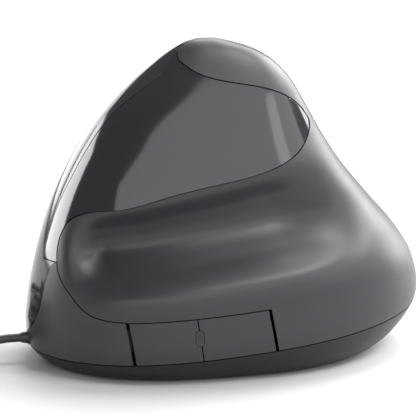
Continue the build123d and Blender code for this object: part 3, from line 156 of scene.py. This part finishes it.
# Details of the materials: their sizes in metres, and the shares that they change
NOISE_MIDDLE = 0.3
NOISE_GAIN = 2.5
NOISE_ROUGHNESS = 0.6
CLOUD = 0.014
CLOUD_TONES = (0.95, 1.05)
GLOSS = 0.005
PLASTIC_GLOSS = (0.93, 0.14)
PLASTIC_IOR = 1.5
DUST = 0.003
DUST_TONE = 1.35
SHEEN = 0.002
RUBBER_GLOSS = (0.85, 0.3)
RUBBER_IOR = 1.46
RIPPLE = 0.0006
RIPPLE_HEIGHT = 0.00002
WEAR = 0.0025
WEAR_TONE = 0.8
POLISH = 0.004
METAL_GLOSS = (0.9, 0.2)
SCRATCH = 0.0006
SCRATCH_HEIGHT = 0.000001
SPECK = 0.001
LACQUER = 0.0015
LACQUER_GLOSS = (0.3, 0.1)
LACQUER_HEIGHT = 0.00002
TRACKS = {"Scale": 110.0, "Mortar Size": 0.03, "Color1": (0.010, 0.085, 0.038),
          "Color2": (0.014, 0.12, 0.05), "Mortar": (0.025, 0.20, 0.09)}

# Kinds of grain that no panel value sets: size and height
GRAINS = {"coarse": (0.0006, 0.00002), "worn": (0.0006, 0.00001), "flat": (0.0008, 0.00002)}

# Plastics that no panel value sets: colour, roughness and grain
PLASTICS = {
    "glide": ((0.03, 0.03, 0.03), 0.45, "worn"),
    "lamp": ((0.45, 0.06, 0.05), 0.2, "smooth"),
    "lens": ((0.32, 0.33, 0.34), 0.12, "smooth"),
    "hub": ((0.045, 0.045, 0.047), 0.32, "fine"),
    "frame_plastic": ((0.032, 0.032, 0.033), 0.5, "coarse"),
    "switch_case": ((0.022, 0.022, 0.023), 0.42, "fine"),
    "plunger": ((0.66, 0.64, 0.58), 0.4, "fine"),
    "chip": ((0.016, 0.016, 0.017), 0.45, "fine"),
    "socket": ((0.70, 0.68, 0.62), 0.4, "fine"),
    "ribbon": ((0.42, 0.43, 0.45), 0.45, "flat"),
    "tongue": ((0.20, 0.20, 0.20), 0.35, "fine"),
}

# Rubbers and metals: colour and roughness
RUBBERS = {"tyre": ((0.022, 0.022, 0.023), 0.62), "tie": ((0.014, 0.014, 0.014), 0.55)}
METALS = {"steel": ((0.60, 0.60, 0.61), 0.30), "plug_metal": ((0.42, 0.42, 0.43), 0.36)}

CLIP = (0.01, 20)
CABLE_FACETS = 4


def length(name, description, default):
    """A size in metres that the panel shows."""
    return bpy.props.FloatProperty(name=name, description=description, default=default,
                                   unit="LENGTH")


def share(name, description, default):
    """A number from 0 to 1, such as a roughness."""
    return bpy.props.FloatProperty(name=name, description=description, default=default,
                                   min=0, max=1, subtype="FACTOR")


def colour(name, description, default):
    """A colour that the panel shows."""
    return bpy.props.FloatVectorProperty(name=name, description=description, default=default,
                                         size=3, min=0, max=1, subtype="COLOR")


def angle(name, description, degrees):
    """An angle that the panel shows."""
    return bpy.props.FloatProperty(name=name, description=description,
                                   default=math.radians(degrees), subtype="ANGLE")


def power(name, description, default):
    """A lamp's power."""
    return bpy.props.FloatProperty(name=name, description=description, default=default,
                                   min=0, unit="POWER")


class CameraSizes(bpy.types.PropertyGroup):
    """Where the camera stands."""

    azimuth: angle("Azimuth", "Turn round the mouse, from its thumb side", -10)
    elevation: angle("Elevation", "Height over the desk", 12)
    distance: length("Distance", "From the camera to the point that it looks at", 0.7)
    pixel: length("Pixel", "What one pixel covers at that distance", 0.0002732)
    target: bpy.props.FloatVectorProperty(
        name="Target", description="The point that the camera looks at", size=3,
        default=(-0.0013, -0.0034, 0.042), subtype="TRANSLATION")
    shift: bpy.props.FloatVectorProperty(
        name="Shift", description="How far the target is from the picture's middle, in pixels",
        size=2, default=(14, -6))


class CableSizes(bpy.types.PropertyGroup):
    """The cable and its jacket."""

    diameter: length("Diameter", "Thickness of the cable", 0.0024)
    length: length("Length", "Free length from the nose to the plug", 1.435)
    jacket: colour("Jacket", "Colour of the cable", (0.026, 0.029, 0.027))
    roughness: share("Roughness", "Roughness of the jacket", 0.42)


class CasingSizes(bpy.types.PropertyGroup):
    """The plastics of the casing."""

    palm: colour("Palm", "The palm shell and the thumb hollow", (0.024, 0.024, 0.026))
    shell: colour("Shell", "The nose and the finger side", (0.026, 0.026, 0.028))
    panel: colour("Panel", "The smooth panel over the thumb", (0.022, 0.022, 0.025))
    key: colour("Keys", "The thumb keys", (0.022, 0.022, 0.024))
    base: colour("Base", "The base and its flare", (0.005, 0.005, 0.006))
    window: colour("Window", "The window of the status light", (0.022, 0.022, 0.024))
    # Painted shade: this near-black colour on the parts' sides stands for the shade down in the
    # seams
    edge: colour("Edge", "The sides of the parts, down in the seams", (0.004, 0.004, 0.004))
    satin: share("Satin", "Roughness of the satin plastic", 0.42)
    smooth: share("Smooth", "Roughness of the panel over the thumb", 0.09)
    nose: share("Nose", "Roughness of the nose and the finger side", 0.12)
    clear: share("Clear", "Roughness of the window", 0.18)
    dull: share("Dull", "Roughness of the sides of the parts", 0.6)
    grain: length("Grain", "Size of the fine moulded grain", 0.00035)
    grain_height: length("Grain height", "Height of the grain", 0.000004)
    reach: length("Reach", "How far a facet may lie from the true skin", 0.0003)


class StageSizes(bpy.types.PropertyGroup):
    """The desk and the lights."""

    floor: colour("Floor", "Colour of the desk", (0.46, 0.46, 0.46))
    floor_size: length("Floor size", "Width of the desk", 6.0)
    surround: bpy.props.FloatProperty(name="Surround", description="Strength of the soft light",
                                      default=0.12, min=0)
    thumb: power("Thumb side", "The wide soft box on the thumb side", 11.0)
    side: power("Side", "The soft box beside the thumb side, towards the rear", 3.2)
    rear: power("Rear", "The wide soft box high behind the palm", 21.0)
    crown: power("Crown", "The soft box over the crown", 16.0)
    tongue: power("Tongue", "The small soft box over the thumb side", 10.0)
    tail: power("Tail", "The low soft box behind the palm", 7.5)
    nose: power("Nose", "The low soft box in front of the nose", 10.0)
    far: power("Far side", "The wide soft box on the finger side", 15.0)


GROUPS = {
    "mouse_camera": CameraSizes,
    "mouse_cable": CableSizes,
    "mouse_casing": CasingSizes,
    "mouse_stage": StageSizes,
}


class Value:
    """A shader socket that Python's signs work on."""

    def __init__(self, shade, socket):
        self.shade = shade
        self.socket = socket

    def maths(self, operation, first, second):
        return self.shade.add("ShaderNodeMath", {"operation": operation}, {0: first, 1: second})

    def __add__(self, other):
        return self.maths("ADD", self, other)

    def __radd__(self, other):
        return self.maths("ADD", other, self)

    def __sub__(self, other):
        return self.maths("SUBTRACT", self, other)

    def __rsub__(self, other):
        return self.maths("SUBTRACT", other, self)

    def __mul__(self, other):
        return self.maths("MULTIPLY", self, other)

    def __rmul__(self, other):
        return self.maths("MULTIPLY", other, self)


class Shade:
    """A material under construction."""

    def __init__(self, name):
        self.material = bpy.data.materials.new(LOOK + name)
        self.material.use_nodes = True
        self.tree = self.material.node_tree
        self.surface = self.tree.nodes["Principled BSDF"]
        self.place = self.add("ShaderNodeTexCoord", {}, {}, "Object")

    def feed(self, socket, value):
        """Sets a socket to a number or colour, or links it."""
        if isinstance(value, Value):
            self.tree.links.new(value.socket, socket)
        elif isinstance(value, (tuple, Vector)) and socket.type == "RGBA":
            socket.default_value = (*value, 1)
        else:
            socket.default_value = value

    def add(self, kind, settings, sockets, output=0):
        """Adds any node: its settings first, then its sockets."""
        made = self.tree.nodes.new(kind)
        for name, value in settings.items():
            setattr(made, name, value)
        for name, value in sockets.items():
            self.feed(made.inputs[name], value)
        return Value(self, made.outputs[output])

    def noise(self, size, detail=3.0):
        """Noise with features of this size, spread over 0 to 1."""
        spots = self.add("ShaderNodeTexNoise", {}, {
            "Vector": self.place, "Scale": 1 / size, "Detail": detail,
            "Roughness": NOISE_ROUGHNESS})
        return (spots - NOISE_MIDDLE) * NOISE_GAIN

    def mix(self, share_of_second, first, second):
        """A colour between two."""
        return self.add("ShaderNodeMix", {"data_type": "RGBA"},
                        {0: share_of_second, 6: first, 7: second}, 2)

    def bump(self, height, distance):
        """A normal from a height that runs from 0 to 1."""
        return self.add("ShaderNodeBump", {}, {"Height": height, "Distance": distance})

    def finish(self, **sockets):
        """Feeds the surface's sockets; an underscore stands for a space."""
        for name, value in sockets.items():
            self.feed(self.surface.inputs[name.replace("_", " ")], value)
        return self.material


def dimmed(tone, amount):
    """A colour times a number."""
    return tuple(channel * amount for channel in tone)


def varied(noise, roughness, gloss):
    """A roughness that noise varies."""
    least, change = gloss
    return noise * (roughness * change) + roughness * least


def moulded(name, tone, roughness, grain, height):
    """Moulded plastic: faint clouds, uneven gloss and fine grain."""
    shade = Shade(name)
    dark, light = CLOUD_TONES
    return shade.finish(
        Base_Color=shade.mix(shade.noise(CLOUD, 2), dimmed(tone, dark), dimmed(tone, light)),
        Roughness=varied(shade.noise(GLOSS, 4), roughness, PLASTIC_GLOSS),
        Normal=shade.bump(shade.noise(grain, 2), height), IOR=PLASTIC_IOR)


def rubbery(name, tone, roughness):
    """A soft jacket with dust and faint ripples."""
    shade = Shade(name)
    return shade.finish(
        Base_Color=shade.mix(shade.noise(DUST, 5), tone, dimmed(tone, DUST_TONE)),
        Roughness=varied(shade.noise(SHEEN, 4), roughness, RUBBER_GLOSS),
        Normal=shade.bump(shade.noise(RIPPLE, 3), RIPPLE_HEIGHT), IOR=RUBBER_IOR)


def plated(name, tone, roughness):
    """Plated metal with faint wear and uneven gloss."""
    shade = Shade(name)
    return shade.finish(
        Base_Color=shade.mix(shade.noise(WEAR, 5), dimmed(tone, WEAR_TONE), tone), Metallic=1.0,
        Roughness=varied(shade.noise(POLISH, 2), roughness, METAL_GLOSS),
        Normal=shade.bump(shade.noise(SCRATCH, 2), SCRATCH_HEIGHT))


def lacquered_board(name):
    """Green lacquer over copper tracks."""
    shade = Shade(name)
    least, change = LACQUER_GLOSS
    tracks = shade.add("ShaderNodeTexBrick", {"offset": 0.3}, {"Vector": shade.place, **TRACKS})
    return shade.finish(
        Base_Color=tracks, Roughness=shade.noise(SPECK, 3) * change + least,
        Normal=shade.bump(shade.noise(LACQUER, 2), LACQUER_HEIGHT))


def make_materials(scene):
    """Every material, by the name of its look."""
    casing = scene.mouse_casing
    cable = scene.mouse_cable
    grains = {"fine": (casing.grain, casing.grain_height),
              "smooth": (casing.grain, casing.grain_height / 3), **GRAINS}
    for name, roughness, grain in (
            ("palm", casing.satin, "fine"), ("shell", casing.nose, "smooth"),
            ("panel", casing.smooth, "smooth"), ("key", casing.satin, "fine"),
            ("base", casing.satin, "fine"), ("window", casing.clear, "smooth"),
            # the last look is painted shade: a near-black colour for the parts' sides, down in
            # the seams
            ("edge", casing.dull, "fine")):
        moulded(name, tuple(getattr(casing, name)), roughness, *grains[grain])
    for name, (tone, roughness, grain) in PLASTICS.items():
        moulded(name, tone, roughness, *grains[grain])
    for name, (tone, roughness) in RUBBERS.items():
        rubbery(name, tone, roughness)
    rubbery("cable", tuple(cable.jacket), cable.roughness)
    for name, (tone, roughness) in METALS.items():
        plated(name, tone, roughness)
    lacquered_board("board")


def wear(piece, look):
    """Gives a piece one material."""
    material = bpy.data.materials[LOOK + look]
    if piece.material_slots:
        for slot in piece.material_slots:
            slot.material = material
    else:
        piece.data.materials.append(material)


def dress(nodes, look):
    """Gives CAD nodes one material."""
    for name in nodes:
        wear(frame["nodes"][name], look)


def placed(name, data):
    """A new object in the scene."""
    piece = bpy.data.objects.new(name, data)
    bpy.context.scene.collection.objects.link(piece)
    return piece


def step(t):
    """A smooth step from 0 to 1."""
    t = np.clip(t, 0, 1)
    return t * t * (3 - 2 * t)


def read_table(rows, at, column):
    """A smooth curve through one column of a table, at many places at once."""
    table = np.array(rows)
    keys, values = table[:, 0], table[:, column]
    last = len(keys) - 1
    before = np.maximum(np.arange(len(keys)) - 1, 0)
    after = np.minimum(np.arange(len(keys)) + 1, last)
    slopes = (values[after] - values[before]) / (keys[after] - keys[before])
    at = np.clip(at, keys[0], keys[-1])
    low = np.clip(np.searchsorted(keys, at, side="right") - 1, 0, last - 1)
    span = keys[low + 1] - keys[low]
    t = (at - keys[low]) / span
    bend = (t ** 3 - 2 * t ** 2 + t) * slopes[low] + (t ** 3 - t ** 2) * slopes[low + 1]
    return values[low] + (values[low + 1] - values[low]) * step(t) + span * bend


def level_height(level, x):
    """Height of a level of the skin at x."""
    along = x / BODY.x + 1 / 2
    rise = STEADY_RISE * along + SWEEP_RISE * along * along
    return level * BODY.z + rise * (1 - step((level - CREASE) / (STRAIGHT - CREASE)))


def level_at(x, z):
    """The level of the skin at this height."""
    low, high = np.zeros_like(x), np.ones_like(x)
    for _ in range(HALVINGS):
        middle = (low + high) / 2
        under = level_height(middle, x) < z
        low = np.where(under, middle, low)
        high = np.where(under, high, middle)
    return low


def skin_points(turn, level, hollow):
    """Points of the casing's skin, with or without the hollow for the thumb."""
    level = np.clip(level, RINGS[0][0], 1)
    front, rear, thumb, finger, tail = (read_table(RINGS, level, k) for k in range(1, 6))
    cosine, side = np.cos(turn), np.sin(turn)
    x = ((front + rear) / 2 + (rear - front) / 2 * cosine) * BODY.x
    z = level_height(level, x)
    flatness = FINGER_FLATNESS + (THUMB_FLATNESS - FINGER_FLATNESS) * (1 - side) / 2
    reach = np.sqrt(np.maximum(1 - np.abs(cosine) ** flatness, 0)) * np.sign(side)
    y = (thumb + finger) / 2 + (finger - thumb) / 2 * reach + tail * ((1 + cosine) / 2) ** 2
    y = y * BODY.y
    if hollow:
        along = x / BODY.x
        low = level_height(CREASE, x)
        top = (WELL_TOP + WELL_TOP_SLOPE * (along - WELL_TOP_FRONT)) * BODY.z
        up = (z - low) / (top - low)
        fade = step((along - WELL_FRONT) / WELL_RAMP) * step(-side / WELL_SIDE)
        fade = fade * (1 - step((cosine - WELL_FADE) / WELL_FADE_LENGTH))
        y = y + np.where(up > 0, WELL_DEPTH * read_table(WELL, up, 1) * fade, 0)
    return np.stack([x, y, z], axis=-1)


def skin_normals(points, hollow):
    """For points near the skin: how far off they lie, and the skin's normal there."""
    x, y, z = points.T
    level = level_at(x, z)
    front, rear = (read_table(RINGS, level, k) * BODY.x for k in (1, 2))
    cosine = np.clip((x - (front + rear) / 2) / ((rear - front) / 2), -0.9999, 0.9999)
    turn = np.arccos(cosine)
    gaps = [np.abs(skin_points(side * turn, level, hollow)[:, 1] - y) for side in (-1, 1)]
    turn = np.where(gaps[0] < gaps[1], -turn, turn)
    around = (skin_points(turn + SKIN_STEP, level, hollow)
              - skin_points(turn - SKIN_STEP, level, hollow))
    up = (skin_points(turn, level + SKIN_STEP, hollow)
          - skin_points(turn, level - SKIN_STEP, hollow))
    normal = np.cross(around, up)
    normal = normal / np.maximum(np.linalg.norm(normal, axis=-1, keepdims=True), 1e-12)
    return np.minimum(*gaps) * np.abs(normal[:, 1]), normal


def facet_normals(mesh):
    """Each face corner's place and flat normal."""
    places = np.empty(len(mesh.vertices) * 3)
    mesh.vertices.foreach_get("co", places)
    flat = np.empty(len(mesh.polygons) * 3)
    mesh.polygons.foreach_get("normal", flat)
    corner_vertex = np.empty(len(mesh.loops), dtype=int)
    mesh.loops.foreach_get("vertex_index", corner_vertex)
    totals = np.empty(len(mesh.polygons), dtype=int)
    mesh.polygons.foreach_get("loop_total", totals)
    areas = np.empty(len(mesh.polygons))
    mesh.polygons.foreach_get("area", areas)
    return (places.reshape(-1, 3)[corner_vertex], np.repeat(flat.reshape(-1, 3), totals, axis=0),
            np.repeat(areas, totals))


def rounded_normals(places, flat, areas):
    """Averages the facets that meet at a place at a small angle."""
    _, group = np.unique(np.round(places / WELD).astype(int), axis=0, return_inverse=True)
    group = group.reshape(-1)
    order = np.argsort(group, kind="stable")
    bounds = np.flatnonzero(np.diff(group[order])) + 1
    made = flat.copy()
    for members in np.split(order, bounds):
        normals = flat[members]
        near = normals @ normals.T > SMOOTH_EDGE
        total = near @ (normals * areas[members][:, None])
        made[members] = total / np.maximum(np.linalg.norm(total, axis=1, keepdims=True), 1e-15)
    return made


def paint_shade_on_sides(mesh, on_skin):
    """Paints shade on the faces with no corner on the skin: a near-black colour that stands for
    the shade down in the seams.
    """
    mesh.materials.append(bpy.data.materials[LOOK + "edge"])
    first = np.empty(len(mesh.polygons), dtype=int)
    mesh.polygons.foreach_get("loop_start", first)
    outside = np.add.reduceat(on_skin.astype(int), first) > 0
    mesh.polygons.foreach_set("material_index",
                              np.where(outside, 0, len(mesh.materials) - 1))


def skinned(node, look, skin=None):
    """A copy of a casing node with smooth normals, worn in its place."""
    source = frame["nodes"][node]
    mesh = source.data.copy()
    piece = placed(node + "_skin", mesh)
    places, flat, areas = facet_normals(mesh)
    normals = rounded_normals(places, flat, areas)
    if skin is not None:
        gap, wanted = skin_normals(places, skin == "hollow")
        agree = (wanted * flat).sum(axis=1) > SAME_WAY
        on_skin = agree & (gap < bpy.context.scene.mouse_casing.reach)
        normals = np.where(on_skin[:, None], wanted, normals)
    mesh.polygons.foreach_set("use_smooth", np.ones(len(mesh.polygons), dtype=bool))
    mesh.normals_split_custom_set(normals)
    wear(piece, look)
    if skin is not None:
        # paints shade on the part's sides: a near-black colour for the shade down in the seams
        paint_shade_on_sides(mesh, on_skin)
    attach(piece, source["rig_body"])
    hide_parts(node)
    return piece


def cable_route():
    """The cable's points: the run, the layers of the coil and the free end."""
    points = [Vector(point) for point in RUN]
    stations = []
    radius = COIL_RADIUS
    for layer in range(COIL_LAYERS):
        height = COIL_LOW + COIL_PITCH * layer
        stations.append((radius, height))
        for _ in range(HALF_TURNS):
            radius += COIL_PITCH / 2 * (-1 if layer % 2 == 0 else 1)
            stations.append((radius, height))
    outward = 1 / math.cos(math.pi / POINTS_PER_HALF_TURN / 2)
    for k, (here, there) in enumerate(zip(stations, stations[1:])):
        for j in range(POINTS_PER_HALF_TURN):
            t = (j + 1 / 2) / POINTS_PER_HALF_TURN
            turn = math.pi * (k + t)
            size = (here[0] + (there[0] - here[0]) * t) * outward
            height = here[1] + (there[1] - here[1]) * t
            points.append(Vector((COIL_MIDDLE[0] - size * math.sin(turn),
                                  COIL_MIDDLE[1] - size * math.cos(turn), height)))
    return points + [Vector(point) for point in TAIL]


class MouseOperator:
    """What the operators share."""

    bl_options = {"REGISTER", "UNDO"}


class MOUSE_OT_camera(MouseOperator, bpy.types.Operator):
    """Places the camera"""

    bl_idname = "mouse.camera"
    bl_label = "Camera"

    def execute(self, context):
        sizes = context.scene.mouse_camera
        flat = math.cos(sizes.elevation)
        look = Vector((-math.sin(sizes.azimuth) * flat, math.cos(sizes.azimuth) * flat,
                       -math.sin(sizes.elevation)))
        data = bpy.data.cameras.new("camera")
        camera = placed("camera", data)
        camera.location = Vector(sizes.target) - look * sizes.distance
        camera.rotation_mode = "QUATERNION"
        camera.rotation_quaternion = look.to_track_quat("-Z", "Y")
        data.lens = data.sensor_width * sizes.distance / sizes.pixel / PHOTO_PIXELS
        data.shift_x = -sizes.shift[0] / PHOTO_PIXELS
        data.shift_y = sizes.shift[1] / PHOTO_PIXELS
        data.clip_start, data.clip_end = CLIP
        context.scene.camera = camera
        return {"FINISHED"}


class MOUSE_OT_materials(MouseOperator, bpy.types.Operator):
    """Makes the materials"""

    bl_idname = "mouse.materials"
    bl_label = "Materials"

    def execute(self, context):
        make_materials(context.scene)
        return {"FINISHED"}


class MOUSE_OT_cable(MouseOperator, bpy.types.Operator):
    """Lays the cable with its coil, tie and plug"""

    bl_idname = "mouse.cable"
    bl_label = "Cable"

    def execute(self, context):
        sizes = context.scene.mouse_cable
        curve = bpy.data.curves.new("cable", "CURVE")
        curve.dimensions = "3D"
        curve.bevel_depth = sizes.diameter / 2
        curve.bevel_resolution = CABLE_FACETS
        curve.resolution_u = CABLE_FACETS
        points = cable_route()
        spline = curve.splines.new("NURBS")
        spline.points.add(len(points) - 1)
        for slot, point in zip(spline.points, points):
            slot.co = (*point, 1)
        spline.order_u = 3
        spline.use_endpoint_u = True
        cable = placed("cable", curve)
        wear(cable, "cable")
        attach(cable, "housing")
        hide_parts("cable_run", "cable_coil", "cable_tail")
        dress(("cable_bush", "inner_lead"), "cable")
        dress(("coil_tie",), "tie")
        dress(("plug_shell",), "plug_metal")
        dress(("plug_tongue",), "tongue")
        grip = skinned("plug_overmould", "cable")
        return {"FINISHED"}


class MOUSE_OT_palm(MouseOperator, bpy.types.Operator):
    """Makes the palm shell with the thumb hollow, and the cheek in front of it"""

    bl_idname = "mouse.palm"
    bl_label = "Palm shell"

    def execute(self, context):
        skinned("palm_shell", "palm", "hollow")
        skinned("front_cheek", "palm", "hollow")
        return {"FINISHED"}


class MOUSE_OT_panel(MouseOperator, bpy.types.Operator):
    """Makes the glossy panel over the thumb"""

    bl_idname = "mouse.panel"
    bl_label = "Thumb panel"

    def execute(self, context):
        skinned("thumb_panel", "panel", "plain")
        return {"FINISHED"}


class MOUSE_OT_thumb_keys(MouseOperator, bpy.types.Operator):
    """Makes the two thumb keys and the window of the status light"""

    bl_idname = "mouse.thumb_keys"
    bl_label = "Thumb keys"

    def execute(self, context):
        skinned("forward_key", "key", "plain")
        skinned("back_key", "key", "plain")
        skinned("indicator_window", "window", "plain")
        dress(("indicator_light",), "lamp")
        return {"FINISHED"}


class MOUSE_OT_finger_side(MouseOperator, bpy.types.Operator):
    """Makes the nose, the finger side and its buttons"""

    bl_idname = "mouse.finger_side"
    bl_label = "Finger side"

    def execute(self, context):
        for node in ("finger_shell", "left_button", "right_button", "dpi_button"):
            skinned(node, "shell", "plain")
        return {"FINISHED"}


class MOUSE_OT_base(MouseOperator, bpy.types.Operator):
    """Makes the base with its feet and screws"""

    bl_idname = "mouse.base"
    bl_label = "Base"

    def execute(self, context):
        skinned("base_shell", "base")
        dress(("front_glide", "rear_glide"), "glide")
        dress(("casing_screws", "board_screws"), "steel")
        return {"FINISHED"}


class MOUSE_OT_wheel(MouseOperator, bpy.types.Operator):
    """Makes the scroll wheel, its cradle and its encoder"""

    bl_idname = "mouse.wheel"
    bl_label = "Wheel"

    def execute(self, context):
        skinned("wheel_tyre", "tyre")
        skinned("wheel_hub", "hub")
        dress(("wheel_cradle",), "frame_plastic")
        dress(("encoder",), "switch_case")
        return {"FINISHED"}


class MOUSE_OT_inside(MouseOperator, bpy.types.Operator):
    """Dresses the frame, boards, switches and wires inside"""

    bl_idname = "mouse.inside"
    bl_label = "Inside"

    def execute(self, context):
        dress(("inner_frame", "led_clip", "side_bracket"), "frame_plastic")
        dress(("hinge_rod",), "steel")
        dress(("main_board", "button_board", "side_board"), "board")
        dress(("sensor_chip", "control_chip"), "chip")
        dress(("sensor_lens",), "lens")
        dress(("sensor_led",), "lamp")
        dress(("cable_socket",), "socket")
        dress(("button_ribbon", "side_ribbon"), "ribbon")
        for name in ("left", "right", "middle", "dpi", "forward", "back"):
            dress((name + "_switch",), "switch_case")
            dress((name + "_plunger",), "plunger")
        return {"FINISHED"}


class MOUSE_OT_stage(MouseOperator, bpy.types.Operator):
    """Makes the desk, the surroundings and the lights"""

    bl_idname = "mouse.stage"
    bl_label = "Stage"

    def execute(self, context):
        sizes = context.scene.mouse_stage
        self.desk(sizes)
        self.surroundings(context.scene, sizes)
        for name, (place, size) in SOFT_BOXES.items():
            self.soft_box(name, place, size, getattr(sizes, name))
        context.scene.view_settings.view_transform = "Standard"
        return {"FINISHED"}

    def desk(self, sizes):
        """The desk's top."""
        shade = Shade("desk")
        tone = tuple(sizes.floor)
        shade.finish(Base_Color=shade.mix(shade.noise(0.3, 2), dimmed(tone, 0.99), tone),
                     Roughness=0.8)
        half = sizes.floor_size / 2
        mesh = bpy.data.meshes.new("desk")
        mesh.from_pydata([(-half, -half, 0), (half, -half, 0), (half, half, 0), (-half, half, 0)],
                         [], [(0, 1, 2, 3)])
        desk = placed("desk", mesh)
        wear(desk, "desk")

    def surroundings(self, scene, sizes):
        """A plain dim surround."""
        world = bpy.data.worlds.new("surroundings")
        world.use_nodes = True
        nodes = world.node_tree.nodes
        nodes["Background"].inputs["Strength"].default_value = sizes.surround
        nodes["Background"].inputs["Color"].default_value = (1, 1, 1, 1)
        scene.world = world

    def soft_box(self, name, place, size, watts):
        """A soft box that faces the mouse and isn't seen itself."""
        data = bpy.data.lights.new(name, "AREA")
        data.shape = "RECTANGLE"
        data.size, data.size_y = size
        data.energy = watts
        lamp = placed(name, data)
        lamp.location = place
        lamp.visible_camera = False
        lamp.rotation_mode = "QUATERNION"
        aim = Vector((0, 0, BODY.z / 2)) - Vector(place)
        lamp.rotation_quaternion = aim.to_track_quat("-Z", "Y")


OPERATORS = (
    MOUSE_OT_camera, MOUSE_OT_materials, MOUSE_OT_cable, MOUSE_OT_palm, MOUSE_OT_panel,
    MOUSE_OT_thumb_keys, MOUSE_OT_finger_side, MOUSE_OT_base, MOUSE_OT_wheel, MOUSE_OT_inside,
    MOUSE_OT_stage,
)


class MOUSE_PT_sidebar(bpy.types.Panel):
    """Lists the operators and their sizes"""

    bl_label = "Vertical mouse"
    bl_space_type = "VIEW_3D"
    bl_region_type = "UI"
    bl_category = "Mouse"

    def draw(self, context):
        for name, group in GROUPS.items():
            box = self.layout.box()
            for key in group.__annotations__:
                box.prop(getattr(context.scene, name), key)
        for operator in OPERATORS:
            self.layout.operator(operator.bl_idname)


def register():
    for name, group in GROUPS.items():
        bpy.utils.register_class(group)
        setattr(bpy.types.Scene, name, bpy.props.PointerProperty(type=group))
    for operator in OPERATORS:
        bpy.utils.register_class(operator)
    bpy.utils.register_class(MOUSE_PT_sidebar)


def unregister():
    bpy.utils.unregister_class(MOUSE_PT_sidebar)
    for operator in reversed(OPERATORS):
        bpy.utils.unregister_class(operator)
    for name, group in GROUPS.items():
        delattr(bpy.types.Scene, name)
        bpy.utils.unregister_class(group)


def main():
    """Runs the operators in order."""
    register()
    for operator in OPERATORS:
        name = operator.bl_idname.split(".")[1]
        getattr(bpy.ops.mouse, name)()


if __name__ == "__main__":
    main()
